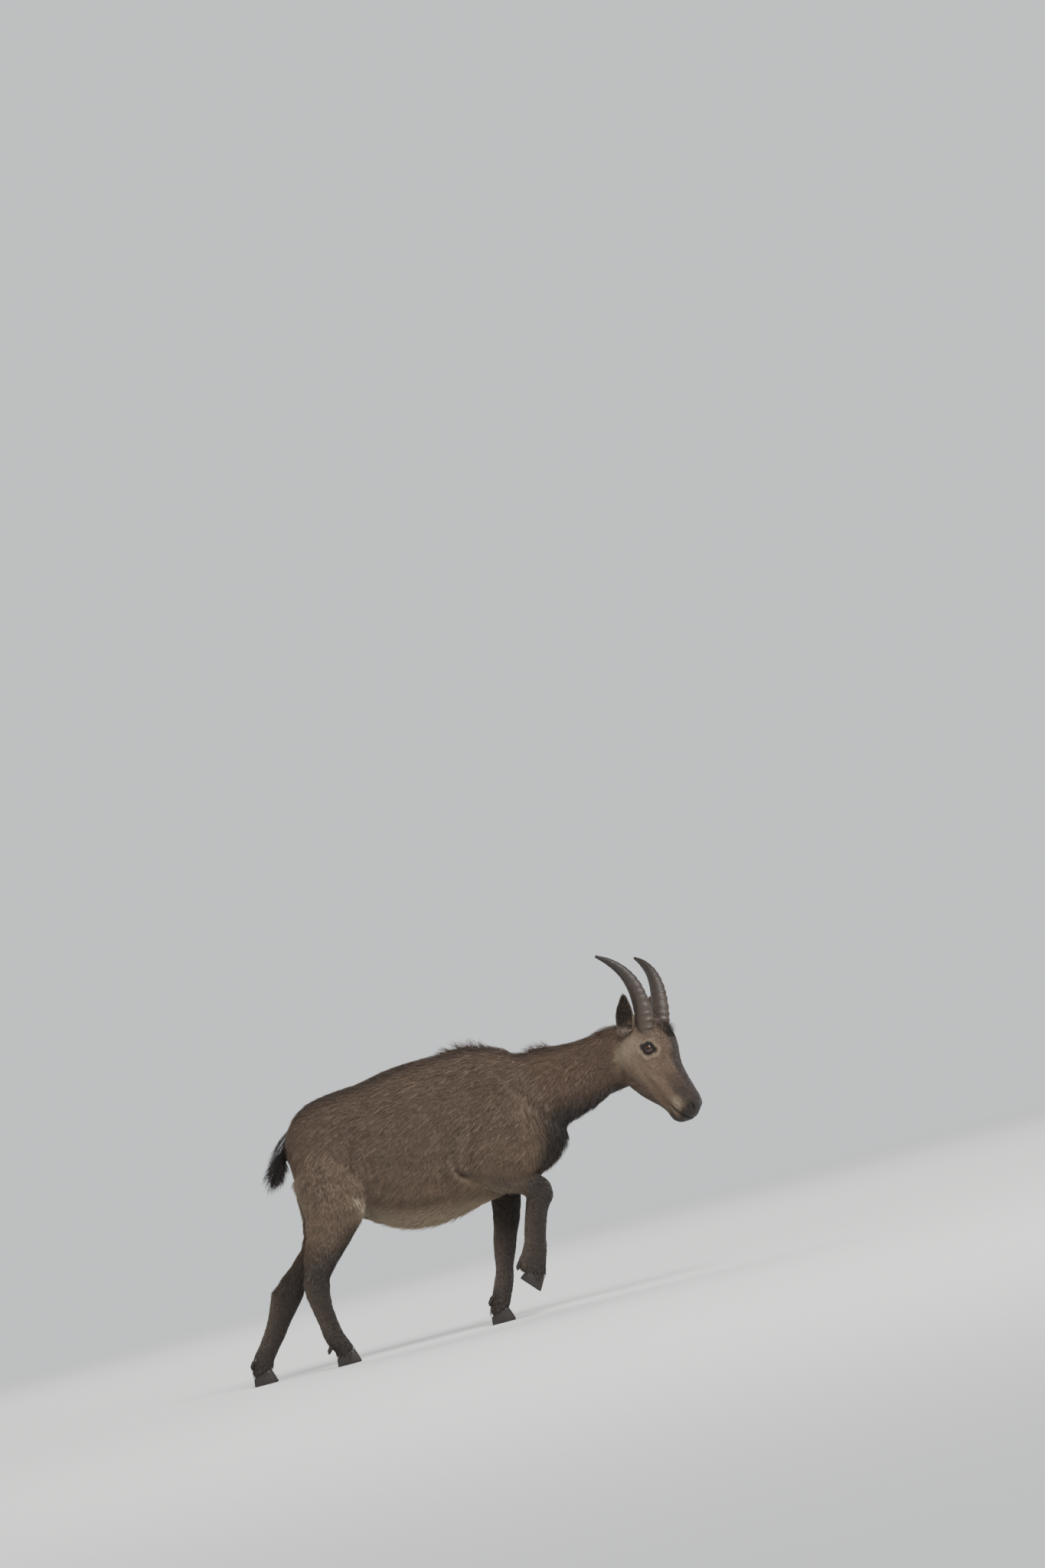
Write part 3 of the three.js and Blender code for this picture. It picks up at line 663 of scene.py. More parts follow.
def nostril_reach(local, side):
    """0 in the middle of the nostril's slit, 1 at its edge."""
    slit = unit(np.array(NOSTRIL_SLIT) * (1, side, 1))
    apart = local - np.array(NOSTRIL) * (1, side, 1)
    along = apart @ slit
    across = np.linalg.norm(apart - along[:, None] * slit, axis=1)
    return np.hypot(along / NOSTRIL_SIZE[0], across / NOSTRIL_SIZE[1])


def height_on_eye(seen, side):
    """How high over the eyeball's centre points lie, in its radii."""
    return seen @ (eye_axes(side).T @ UP) / EYE_RADIUS


def model_face(co, out):
    local = in_head(co)
    lift = np.zeros(len(co))
    for centre, reach, height in FACE_MOUNDS:
        for side in SIDES_OF_HER:
            lift += height * blob(local, np.array(centre) * (1, side, 1), reach)
    lift -= MOUTH_DEPTH * near_mouth(local, MOUTH_WIDTH)
    for side in SIDES_OF_HER:
        lift -= NOSTRIL_DEPTH * np.exp(-nostril_reach(local, side) ** 2)
    local = in_head(co + out * lift[:, None] * MM)
    for side in SIDES_OF_HER:
        seen = in_eye(local, side)
        apart = np.linalg.norm(seen, axis=1)
        edge = opening_edge(seen)
        near = (apart < LID_REACH) & (seen[:, 2] > 0)
        ball = np.where(edge < 0, EYE_RADIUS - SOCKET_UNDER, EYE_RADIUS + LID_OVER)
        share = step(1 - edge / LID_BLEND, 0, 1) * near
        above = np.clip(height_on_eye(seen, side), 0, 1)
        ball = ball - LID_FOLD[2] * above * np.exp(-(((edge - LID_FOLD[0]) / LID_FOLD[1]) ** 2))
        wanted = seen * (ball / np.maximum(apart, 1e-6))[:, None]
        seen = seen + (wanted - seen) * share[:, None]
        local = np.where(near[:, None], seen @ eye_axes(side).T + eye_centre(side), local)
    return local * MM @ head_axes.T + np.array(head_origin)


face_points = in_head(co)[:, 0] > FACE_FROM
face_points &= co[:, 0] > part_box("head")[0].x
out = normals(skin)
co[face_points] = model_face(co[face_points], out[face_points])
place_points(skin, co)
skin.data.shade_smooth()
print("face points", int(face_points.sum()))

# %% [markdown]
# Her ears are thin cups, too thin for the voxels, so they come straight from their CAD nodes: subdivided
# until they are round, and drawn in a little to leave room for the fur. They then join the skin's mesh.

# %% Ears
EAR_FUR = 1.0
EAR_ROUNDING = 2


def round_ear(word):
    """A smooth copy of an ear's CAD node, drawn in along its normals."""
    ear = joined(f"ear_{word}_skin", [f"ear_{word}"], 0.0)
    ear.modifiers.new("round", "SUBSURF").levels = EAR_ROUNDING
    apply_modifiers(ear)
    place_points(ear, coordinates(ear) - normals(ear) * EAR_FUR * MM)
    ear.data.shade_smooth()
    return ear


body_points = len(skin.data.vertices)
ears = [round_ear(word) for word in SIDES_OF_HER.values()]
ear_sizes = [len(ear.data.vertices) for ear in ears]
ear_side = np.repeat([0, *SIDES_OF_HER], [body_points, *ear_sizes])
bpy.ops.object.select_all(action="DESELECT")
for piece in (*ears, skin):
    piece.select_set(True)
bpy.context.view_layer.objects.active = skin
bpy.ops.object.join()
co = coordinates(skin)
print("skin points with ears", len(co), "ear points", ear_sizes)

# %% [markdown]
# Hair lies from the nose over the head and neck to the tail, and down the flanks and legs. Each node gets its
# own direction, a little different high and low on the body, and the directions are spread like the coat's
# other facts. What is left after taking away the part along the normal is the lie on the surface.

# %% The lie of the coat
LIMB_LIES = {
    "foreleg_left": (-0.25, 0, -1),
    "foreleg_right": (-0.2, 0, -1),
    "hindleg_left": (-0.75, 0, -1),
    "hindleg_right": (-0.05, 0, -1),
}
HEAD_LIE = (-1, 0, -0.16)
FORELOCK_LIE = (1, 0, 0.15)
TAIL_LIE = (-0.45, 0, -1)
RAISED_ARM_LIE = (0.5, 0, -0.8)
LOW_THIGH_LIE = np.array((-0.35, 0, -1.0))
EAR_ROOT = (-66, 48, -36)
LIE_PASSES = 3
LIE_ROUNDS = 45


def trunk_lie(x, z):
    """From the neck back over the torso, more and more downwards low on the flank, the rump and the chest."""
    flank = np.clip((690 - z) / 180, 0, 1)
    rump = np.clip((-330 - x) / 90, 0, 1)
    chest = np.clip((x - 190) / 90, 0, 1) * np.clip((600 - z) / 80, 0, 1)
    down = np.where(z < 360, 0.4, 0.18 + 0.75 * flank) + 1.2 * rump + 1.4 * chest
    side_of_neck = np.clip((655 - z) / 110, 0, 1)
    on_torso = unit(np.stack([-1 + 0.45 * rump + 0.5 * chest, 0 * x, -down], 1))
    on_neck = unit(np.stack([-1 + 0.4 * side_of_neck, 0.12 + 0 * x, -0.3 - 0.95 * side_of_neck], 1))
    towards_neck = step(x, 130, 330)[:, None]
    return on_torso, on_torso * (1 - towards_neck) + on_neck * towards_neck


def lie_directions(co, owners):
    x, _, z = in_level(co).T
    names = np.array(flesh_nodes)[owners]
    on_torso, lie = trunk_lie(x, z)
    on_head = (names == "head") | np.char.startswith(names, "eye")
    lie[on_head] = head_axes @ HEAD_LIE
    ahead, _, above = in_head(co).T
    lie[(names == "head") & (above > 34) & (ahead > -60) & (ahead < 0)] = head_axes @ FORELOCK_LIE
    lie[names == "tail"] = TAIL_LIE
    for limb, direction in LIMB_LIES.items():
        lie[np.char.startswith(names, limb)] = direction
    lie[names == "foreleg_right_forearm"] = RAISED_ARM_LIE
    thigh = np.char.endswith(names, "thigh")
    upper = step(z, 430, 620)[:, None]
    lie[thigh] = (on_torso * upper + unit(LOW_THIGH_LIE) * (1 - upper))[thigh]
    return unit(lie)


def on_surface(vectors, out):
    return unit(vectors - out * (vectors * out).sum(1, keepdims=True))


def ear_lie(side, word):
    """From an ear's root to its tip."""
    low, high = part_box(f"ear_{word}")
    tip = Vector((low.x, high.y if side > 0 else (low.y + high.y) / 2, high.z))
    ahead, over, up = EAR_ROOT
    root = head_origin + head_turn @ (Vector((ahead, side * over, up)) * MM)
    return np.array((tip - root).normalized())


skin_ends = edges_of(skin)
out = normals(skin)
lie = np.zeros_like(co)
lie[:body_points] = lie_directions(co[:body_points], owners)
for side, word in SIDES_OF_HER.items():
    lie[ear_side == side] = ear_lie(side, word)
for _ in range(LIE_PASSES):
    lie = on_surface(spread(lie, skin_ends, LIE_ROUNDS), out)
print("lie of the coat set on", len(lie), "points")

# %% [markdown]
# Most markings follow the living animal: a warm grey-brown body, darker along the back, dark chest, legs and
# tail, a pale belly and buttock edge, and on the head a dark nose bridge and pale rings round the eyes.
# Painted shade darkens the underside of the head, the upper hollow of each ear and the fold behind each upper
# arm, and a painted highlight lightens the upper arm's rim. All are painted in soft layers, once for each
# point of the skin, so that the skin and every hair on it agree.

# %% Markings and painted light
COLOURS = {
    "body": colour_of("5c4b3c"),
    "back": colour_of("372b22"),
    "flank_low": colour_of("655341"),
    "neck": colour_of("5b4737"),
    "belly": colour_of("9b8c76"),
    "dark": colour_of("1e1712"),
    "leg": colour_of("231b16"),
    "pale": colour_of("857662"),
    "tail": colour_of("1c1511"),
    "head": colour_of("594839"),
    "cheek": colour_of("6f5e4d"),
    "bridge": colour_of("2b211a"),
    "nose": colour_of("211a15"),
    "slit": colour_of("0b0908"),
    "inner_ear": colour_of("5f5348"),
}
# tops of the pale belly and of the pale fold before the thigh, as lines (x, z) in her level frame
BELLY_TOP = [(-262, 404), (-164, 352), (-85, 338), (-2, 340), (87, 336)]
FLANK_FOLD = [(-262, 416), (-250, 376), (-236, 340)]
ELBOW_EDGE = [(30, 388), (70, 362), (100, 340), (150, 316)]
ARM_LIGHT_AND_SHADE_STEP = np.array((13, 4))  # how far the painted highlight on the upper arm's rim lies ahead of its fold, and the painted shade behind it
COLOUR_ROUNDS = 24
FULL_TURN = 6.28


def waves(points, size, seed):
    """A soft patchy value between -1 and 1 from a few crossing waves."""
    draw = np.random.default_rng(seed)
    total = np.zeros(len(points))
    for _ in range(6):
        way = unit(draw.normal(size=3)) * 2 * np.pi / (size * draw.uniform(0.6, 1.6))
        total += np.sin(points @ way + draw.uniform(0, FULL_TURN))
    return total / 3


def painted(name, count):
    """One colour for that many points."""
    return np.tile(np.array(COLOURS[name]), (count, 1))


def paint(colour, *layers):
    """Lay colours over another, each through its mask, the last one on top."""
    for mask, name in layers:
        colour = colour + (np.array(COLOURS[name]) - colour) * np.clip(mask, 0, 1)[:, None]
    return colour


def coat_colours(co, out, names, ear_side, inside_ear):
    """The coat's colour at points, from where they are on her body, with painted shade and highlight among
    it.
    """
    here = in_level(co)
    x, y, z = here.T
    local = in_head(co)
    patch = 14 * waves(here, 160, 3)
    neck = np.char.startswith(names, "neck")
    thigh = np.char.endswith(names, "thigh")
    trunk = np.char.startswith(names, "torso") | neck | thigh
    limb = np.char.startswith(names, "foreleg") | np.char.startswith(names, "hindleg")
    raised = np.char.startswith(names, "foreleg_right_f")
    head = np.char.startswith(names, "head") | np.char.startswith(names, "eye")
    flat = here[:, [0, 2]]
    top = step(out[:, 2] + 0.005 * patch, 0.58, 0.95) * step(z, 560, 640)
    chest = step(x + 0.35 * (470 - z) + patch, 225, 300) * step(560 - z, 0, 90)
    throat = neck * step(-out[:, 2], 0.35, 0.8)
    under = np.interp(x, *np.array(BELLY_TOP).T) - z + 0.8 * patch
    belly = step(under, -14, 40) * step(x, -290, -250) * step(150 - x, 0, 90)
    fold = near_line(flat, FLANK_FOLD, 13)
    groin = step(-190 - x, 0, 60) * step(x, -330, -270) * step(430 - z, 0, 60) * step(70 - np.abs(y), 0, 50)
    low = np.where(thigh, step(360 - z + patch, 0, 110), 1.0)
    rear = step(-out[:, 0] - 0.15, 0, 0.6)
    front = step(out[:, 0], 0.05, 0.7)
    arm = trunk & (x > 0) & (x < 170)
    buttock = thigh & (x < -330)
    layers = [
        (step(520 - z + patch, 0, 160) * 0.7, "flank_low"),
        (neck * 0.8, "neck"),
        (trunk * top * 0.9, "back"),
        (trunk * chest, "dark"),
        (throat * 0.7, "leg"),
        (trunk * belly * 0.75, "belly"),
        (trunk * belly * step(-out[:, 2], 0.4, 0.9) * 0.6, "belly"),
        (trunk * np.maximum(fold * 0.8, groin * 0.7), "belly"),
        (limb * low * 0.9, "leg"),
        (limb * front * step(400 - z, 0, 110) * 0.8, "dark"),
        (limb * rear * step(z, 60, 120) * step(330 - z, 0, 110) * 0.22, "pale"),
        (raised * step(-out[:, 2], 0.3, 0.8) * 0.6, "pale"),
        (arm * near_line(flat, ELBOW_EDGE, 12) * step(-y, 20, 60) * 0.6, "pale"),
    ]
    # on each side, painted shade in the fold behind the upper arm and a painted highlight along its rim ahead
    # of the fold
    for side in SIDES_OF_HER:
        facing, seen = seen_from(side, flat, out, SHOULDER[2])
        layers += [
            (trunk * facing * near_line(seen + ARM_LIGHT_AND_SHADE_STEP, ARM_FOLD[2], 14) * 0.5, "back"),
            (trunk * facing * near_line(seen - ARM_LIGHT_AND_SHADE_STEP, ARM_FOLD[2], 13) * 0.32, "pale"),
        ]
    layers += [
        (buttock * step(-out[:, 0], 0.5, 0.95) * step(z, 330, 430) * 0.8, "pale"),
        ((names == "tail") * 1.0, "tail"),
    ]
    colour = paint(painted("body", len(co)), *layers)
    blend = step(local[:, 0], -104, -70)[:, None] * head[:, None]
    colour = colour + (head_markings(local) - colour) * blend
    # painted shade: the head darker wherever its skin faces down, under the jaw and the chin
    colour = paint(colour, (head * step(-out[:, 2], 0.3, 0.85) * 0.6, "leg"))
    ear = ear_side != 0
    ahead, inside = local[ear, 0], inside_ear[ear]
    # pale inner hair near each ear's root; further up its hollow, painted shade in the nose's dark colour;
    # pale fur on the outside at its root
    colour[ear] = paint(
        painted("head", len(ahead)),
        (inside * step(ahead, -96, -80), "inner_ear"),
        (inside * step(-ahead, 84, 100), "nose"),
        ((1 - inside) * step(ahead, -100, -84), "pale"),
    )
    return colour


def head_markings(local):
    """The same for the head, in its own frame."""
    x, y, z = local.T
    aside = np.abs(y)
    mirrored = np.stack([x, aside, z], 1)
    rough = 3.5 * waves(local * (0.3, 1, 1), 7, 5) + 4 * waves(local, 30, 6)
    layers = [
        (0.9 * blob(mirrored, (44, 46, -50), (46, 26, 26)), "cheek"),
        (0.75 * blob(mirrored, (-34, 54, -60), (20, 34, 44)), "pale"),
        (step(28 + rough - aside, 0, 16) * step(z, 4, 24) * step(x, -60, -30), "bridge"),
        (0.9 * step(x, 60, 150) * step(z + rough + 0.12 * (x - 100), -34, 8), "bridge"),
        (0.75 * step(x, 20, 150) * step(-64 - z, 0, 16), "bridge"),
        (0.75 * blob(mirrored, (160, 34, -26), (13, 12, 10)), "pale"),
        (0.8 * (step(-x, 10, 60) * step(z, 0, 24)), "back"),
    ]
    for side in SIDES_OF_HER:
        seen = in_eye(local, side)
        edge = opening_edge(seen)
        near = (np.sign(y) == side) & (np.linalg.norm(seen, axis=1) < LID_REACH + 12)
        above = np.clip(height_on_eye(seen, side), -1, 1)
        ring = np.exp(-(((edge - 14) / 4.5) ** 2)) * near * (0.7 - 0.3 * above)
        layers += [(0.8 * ring, "pale"), (step(10.0 + above - edge, 0, 4.5) * near, "slit")]
    layers += [
        (step(x + rough + 0.25 * z, 166, 190), "nose"),
        (0.85 * step(x + rough, 148, 172) * step(-48 - z, 0, 8), "nose"),
        (near_mouth(local, 2.6) * step(x, 146, 158) * 0.8, "slit"),
        *((np.exp(-nostril_reach(local, side) ** 2) * 1.2, "slit") for side in SIDES_OF_HER),
    ]
    return paint(painted("head", len(local)), *layers)


def cup_side(out, ear_side):
    """1 on the hollow side of each ear."""
    mask = np.zeros(len(out))
    for side in SIDES_OF_HER:
        open_way = head_axes @ unit(np.array((0.25, side, 0.35)))
        mask = np.where(ear_side == side, step(out @ open_way, 0.0, 0.5), mask)
    return mask


names = np.array([*np.array(flesh_nodes)[owners], *["ear"] * (len(co) - body_points)])
skin_colour = coat_colours(co, out, names, ear_side, cup_side(out, ear_side))
off_face = 1 - step(in_head(co)[:, 0], -120, -70)[:, None] * (co[:, 0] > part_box("head")[0].x)[:, None]
skin_colour += (spread(skin_colour, skin_ends, COLOUR_ROUNDS) - skin_colour) * off_face
print("mean colour", skin_colour.mean(0).round(3))

# %% [markdown]
# The finish of skin and hair is one shader: the coat's colours, painted shade and highlight among them, as a
# colour on the mesh, broken up by fine noise, and for a hair a tone of its own, darker at the root and paler
# at the tip.

# %% The coat's finish
SKIN_TONE = 0.86
SKIN_BUMP = 0.002
GRAIN_SCALE = (0.16, 1, 1)  # streaks along the face
COAT_GRAIN = (0.8, 3.0)
KEYS = {"FLOAT": "value", "FLOAT_VECTOR": "vector", "FLOAT_COLOR": "color"}


def keep_on(piece, name, kind, values):
    """Keep a value for each point on a mesh, where its shader can read it."""
    group = piece.data.color_attributes if kind == "FLOAT_COLOR" else piece.data.attributes
    made = group.new(name, kind, "POINT")
    made.data.foreach_set(KEYS[kind], values.astype(np.float32).ravel())


def mark_coat(piece, colours, tones, grain):
    keep_on(piece, "CoatColour", "FLOAT_COLOR", np.column_stack([colours, np.ones(len(colours))]))
    keep_on(piece, "Tone", "FLOAT", tones)
    keep_on(piece, "Grain", "FLOAT_VECTOR", grain)


def coat_finish(name, roughness, bump):
    constants = {"Specular_IOR_Level": 0.3, "Sheen_Weight": 0.1, "Sheen_Roughness": 0.5}
    material, inputs, wire = finish_for(name, roughness, **constants)
    marking = wire.node("ShaderNodeAttribute", {"attribute_name": "CoatColour"}, output="Color")
    tone = wire.node("ShaderNodeAttribute", {"attribute_name": "Tone"}, output="Fac")
    where = wire.node("ShaderNodeAttribute", {"attribute_name": "Grain"}, output="Vector")
    grain = where.noise(*COAT_GRAIN)
    amount = tone * (0.7 + grain * 0.6)
    colour = wire.node("ShaderNodeVectorMath", {"operation": "SCALE"}, {0: marking, "Scale": amount})
    wire.plug(inputs["Base Color"], colour)
    if bump:
        wire.plug(inputs["Normal"], grain.bump(bump, 1.0))
    return material


skin_finish = coat_finish("skin_coat", 0.75, SKIN_BUMP)
hair_finish = coat_finish("hair", 0.62, 0)
mark_coat(skin, skin_colour, np.full(len(co), SKIN_TONE), in_head(co) * GRAIN_SCALE)
skin.data.materials.clear()
skin.data.materials.append(skin_finish)
skin.data.polygons.foreach_set("material_index", np.zeros(len(skin.data.polygons), np.int32))
print("coat finishes", skin_finish.name, hair_finish.name)

# %% [markdown]
# The closing export bakes colour through a UV map named OFBake. The skin gets a UV map named OFBake and is
# unwrapped by its own shape, and each hair later gets a tiny patch of the map at its root.

# %% Unwrap the skin
UNWRAP_ANGLE = math.radians(66)
UNWRAP_MARGIN = 0.001

bpy.ops.object.select_all(action="DESELECT")
bpy.context.view_layer.objects.active = skin
skin.select_set(True)
skin.data.uv_layers.new(name="OFBake")
bpy.ops.object.mode_set(mode="EDIT")
bpy.ops.mesh.select_all(action="SELECT")
bpy.ops.uv.smart_project(angle_limit=UNWRAP_ANGLE, island_margin=UNWRAP_MARGIN)
bpy.ops.object.mode_set(mode="OBJECT")
print("unwrapped", len(skin.data.polygons), "faces")

# %% [markdown]
# Fur could be particle hair, but the export drops that. Each hair is a thin closed blade of its own, and the
# roots are scattered at random over the skin, more of them where the coat is dense.

# %% Scatter hair roots
LOCK_SPACING = 7.0
SEED = 20
PER_SQUARE_METRE = 1e4  # square centimetres in it


def scatter(density, draw):
    """Random roots: the triangle and the shares of its three corners. Density is per square metre."""
    wanted = areas * density
    total = int(wanted.sum())
    edges = np.cumsum(wanted)
    picked = np.searchsorted(edges, draw.uniform(0, edges[-1], total))
    picked = np.minimum(picked, len(areas) - 1)
    a, b = draw.uniform(size=(2, total))
    flip = a + b > 1
    a, b = np.where(flip, 1 - a, a), np.where(flip, 1 - b, b)
    return picked, np.stack([1 - a - b, a, b], 1)


def at_roots(values, picked, shares):
    """A value of the skin's points, read at the roots."""
    flat = values.reshape(len(values), -1)
    found = (flat[corners[picked]] * shares[:, :, None]).sum(1)
    return found.reshape(len(picked), *values.shape[1:])


skin.data.calc_loop_triangles()
corners = read(skin.data.loop_triangles, "vertices", 3, np.int32)
loops = read(skin.data.loop_triangles, "loops", 3, np.int32)
areas = read(skin.data.loop_triangles, "area", 1)[:, 0]
uv_values = read(skin.data.uv_layers["OFBake"].data, "uv", 2)
print("skin area", round(float(areas.sum()), 3), "m2")

# %% [markdown]
# The eyes, the lips and the nose leather are bare. Elsewhere the number of hairs, their length and their lift
# come from the facts of the coat, and a few places have long hair of their own: the erect crest on the
# withers and nape, the belly, the brisket, the throat and the backs of the thighs.

# %% Length, lift and bare places
EAR_COAT = (1.0, 7, 10, 0.7, 16.0)
LASH_LENGTH = 4.5
LASH_REACH = 30  # from the eyeball's centre
LID_BARE = (3.5, 6.0)  # hair starts between these distances from the opening
NOSE_BARE = (184, 190)  # and ends between these places on the nose
LIP_WIDTH = 2.5
TAIL_SHARE = 0.4  # of the tail's hairs grow here, the rest with its brush
# place in her level frame, reach, length, lift in degrees
LONG_HAIR = {
    "withers": ((118, 0, 722), (66, 12, 26), 36, 56),
    "nape": ((290, 0, 666), (34, 10, 22), 33, 56),
    "poll": ((470, -40, 676), (22, 14, 16), 20, 40),
    "belly": ((-110, 0, 290), (150, 55, 26), 36, 20),
    "brisket": ((290, 0, 420), (30, 40, 60), 36, 24),
    "throat": ((380, -10, 480), (110, 34, 26), 32, 24),
    "buttock": ((-400, 0, 420), (30, 60, 80), 34, 22),
}
# the same in the head's frame
LONG_HEAD_HAIR = {
    "forelock": ((-34, 0, 52), (16, 17, 15), 32, 38),
    "behind_jaw": ((-44, 0, -96), (24, 40, 22), 24, 26),
    "under_jaw": ((40, 0, -100), (60, 30, 16), 11, 20),
    "ear_left": ((-72, 50, -30), (15, 14, 16), 17, 34),
    "ear_right": ((-72, -50, -30), (15, 14, 16), 17, 34),
    "horns": ((-42, 0, 10), (22, 50, 14), 11, 30),
    "crown": ((-76, 0, 34), (34, 24, 24), 15, 26),
}


def length_and_lift(co, facts):
    local = in_head(co)
    length, lift = facts[:, 1].copy(), facts[:, 2].copy()
    for points, places in ((in_level(co), LONG_HAIR), (local, LONG_HEAD_HAIR)):
        for centre, reach, long, steep in places.values():
            mask = np.clip(1.6 * blob(points, centre, reach) - 0.3, 0, 1)
            length += (long - length) * mask
            lift += (steep - lift) * mask
    length *= 1 - 0.5 * step(local[:, 0], 60, 150) * face_mask
    length = np.where(near_eye(co, LASH_REACH), np.minimum(length, LASH_LENGTH), length)
    return length, lift


def hair_share(co):
    """0 where no hair grows, 1 where it does."""
    local = in_head(co)
    hairy = np.ones(len(co))
    for side in SIDES_OF_HER:
        seen = in_eye(local, side)
        near = np.linalg.norm(seen, axis=1) < LID_REACH
        hairy *= np.where(near, step(opening_edge(seen), *LID_BARE), 1)
    hairy *= 1 - step(local[:, 0] + 0.25 * local[:, 2], *NOSE_BARE) * face_mask
    hairy *= 1 - near_mouth(local, LIP_WIDTH) * face_mask
    hairy *= np.where(np.char.find(names, "_claw") >= 0, 0, 1)
    return hairy * np.where(names == "tail", TAIL_SHARE, 1)


facts = np.concatenate([facts, np.tile(np.array(EAR_COAT, float), (len(co) - body_points, 1))])
face_mask = np.concatenate([face_points, np.zeros(len(co) - body_points, bool)]).astype(float)
lengths, lifts = length_and_lift(co, facts)
hairy = hair_share(co)
print("hair length from", lengths.min().round(1), "to", lengths.max().round(1), "mm")

# %% [markdown]
# A hair's curve starts a little below the skin and follows the lie of the coat. It rises by its lift, sways a
# little, and leans towards the guide of its lock, which gathers the hairs in soft locks at their tips.

# %% Hairs as curves
HAIR_ROOT = 1.2
ROOT_LEAN = 0.5  # how far it lies back, for its depth
LIFT_LOST = 0.4  # share of a hair's lift that its tip has lost
SWAY_TURN = 5.0  # radians of sway from root to tip
GATHER = (0.4, 1.5)  # how far tips lean to their lock, and how late along the hair
CLEAR_OF_SKIN = 0.9
FOLD_DEPTH = 8.0
OFF_FLOOR = 1.5


def above_skin(points):
    """Points of hairs, moved out where they would run under the skin in a fold."""
    nearest = np.array([skin_tree.find(point)[1] for point in points])
    height = ((points - co[nearest]) * out[nearest]).sum(1)
    return points + out[nearest] * np.clip(CLEAR_OF_SKIN * MM - height, 0, FOLD_DEPTH * MM)[:, None]


def hair_curves(hairs, stations):
    """Points along each hair, from below the skin to the tip."""
    root, normal, lie, turn = (hairs[key] for key in ("root", "normal", "lie", "turn"))
    way = lie * np.cos(turn)[:, None] + np.cross(normal, lie) * np.sin(turn)[:, None]
    across = np.cross(normal, way)
    steep = np.radians(hairs["lift"])
    curves = [root - normal * HAIR_ROOT * MM - way * (ROOT_LEAN * HAIR_ROOT * MM)]
    for share in stations[1:]:
        run = hairs["length"] * MM * share
        height = run * np.sin(steep) * (1 - LIFT_LOST * share)
        sway = hairs["wave"] * MM * np.sin(hairs["phase"] + share * SWAY_TURN) * share
        lean = hairs["pull"] * (GATHER[0] * share ** GATHER[1])
        point = root + way * (run * np.cos(steep))[:, None] + normal * height[:, None]
        curves.append(above_skin(point + across * sway[:, None] + lean))
    curves = np.stack(curves, 1)
    curves[..., 2] = np.maximum(curves[..., 2], OFF_FLOOR * MM)
    return curves


skin_tree = point_tree(co)
print("hairs keep", CLEAR_OF_SKIN, "mm clear of the skin and", OFF_FLOOR, "mm off the floor")

# %% [markdown]
# A blade has three sides: a closed root, a ring or more along its curve, and a point. All the blades of a
# piece are made at once with arrays.

# %% Blades along the curves
ROOT_TONE, TIP_TONE = 0.82, 0.28  # a hair's tone at the root, and what its tip adds
UV_PATCH = 0.003
SIDES = 3
NARROWER, FLATTER = 0.55, 0.55


def blade_faces(rings):
    """Triangles of one blade: its closed root, the bands between its rings, and its point."""
    faces = [(0, 1, 2)]
    for ring in range(rings - 1):
        for side in range(SIDES):
            a, b = ring * SIDES + side, ring * SIDES + (side + 1) % SIDES
            faces += [(a, a + SIDES, b), (b, a + SIDES, b + SIDES)]
    last, point = (rings - 1) * SIDES, rings * SIDES
    return np.array(faces + [(last + side, point, last + (side + 1) % SIDES) for side in range(SIDES)])


def mesh_from_arrays(name, verts, triangles):
    mesh = bpy.data.meshes.new(name)
    mesh.vertices.add(len(verts))
    mesh.vertices.foreach_set("co", verts.astype(np.float32).ravel())
    mesh.loops.add(triangles.size)
    mesh.loops.foreach_set("vertex_index", triangles.astype(np.int32).ravel())
    mesh.polygons.add(len(triangles))
    mesh.polygons.foreach_set("loop_start", np.arange(0, triangles.size, 3, dtype=np.int32))
    mesh.polygons.foreach_set("loop_total", np.full(len(triangles), 3, dtype=np.int32))
    mesh.update(calc_edges=True)
    mesh.shade_smooth()
    return placed(name, mesh)


def blade_mesh(name, curves, hairs):
    """Closed three-sided blades along curves, as one object."""
    count, stations = curves.shape[:2]
    rings = stations - 1
    run = unit(np.gradient(curves, axis=1))
    side = unit(np.cross(run, hairs["normal"][:, None, :]))
    up = np.cross(side, run)
    shares = np.linspace(0, 1, stations)
    taper = 1 - NARROWER * shares[:-1] ** 1.5
    half = (hairs["width"][:, None] * MM / 2 * taper[None, :])[..., None]
    middle, side, up = curves[:, :-1], side[:, :-1], up[:, :-1]
    ring = np.stack([middle - side * half, middle + up * half * FLATTER, middle + side * half], 2)
    verts = np.concatenate([ring.reshape(count, rings * SIDES, 3), curves[:, -1:]], 1)
    per = rings * SIDES + 1
    index = (blade_faces(rings)[None] + (np.arange(count) * per)[:, None, None]).reshape(-1, 3)
    verts = verts.reshape(-1, 3)
    piece = mesh_from_arrays(name, verts, index)
    height = np.append(np.repeat(shares[:-1], SIDES), 1.0)
    tones = hairs["tone"][:, None] * (ROOT_TONE + TIP_TONE * height[None])
    mark_coat(piece, np.repeat(hairs["colour"], per, 0), tones, verts / MM)
    patch = np.stack([np.tile([0, 0.5, 1], rings).tolist() + [0.5], height], 1) * UV_PATCH
    uv_points = (hairs["uv"][:, None, :] + patch[None]).reshape(-1, 2)
    layer = piece.data.uv_layers.new(name="OFBake")
    layer.data.foreach_set("uv", uv_points[index.ravel()].astype(np.float32).ravel())
    piece.data.materials.append(hair_finish)
    return piece


print("a short hair has", len(blade_faces(2)), "triangles, a long one", len(blade_faces(4)))

# %% [markdown]
# One random generator gives every hair what it has of its own. Part of that is shared by the hairs of a lock.

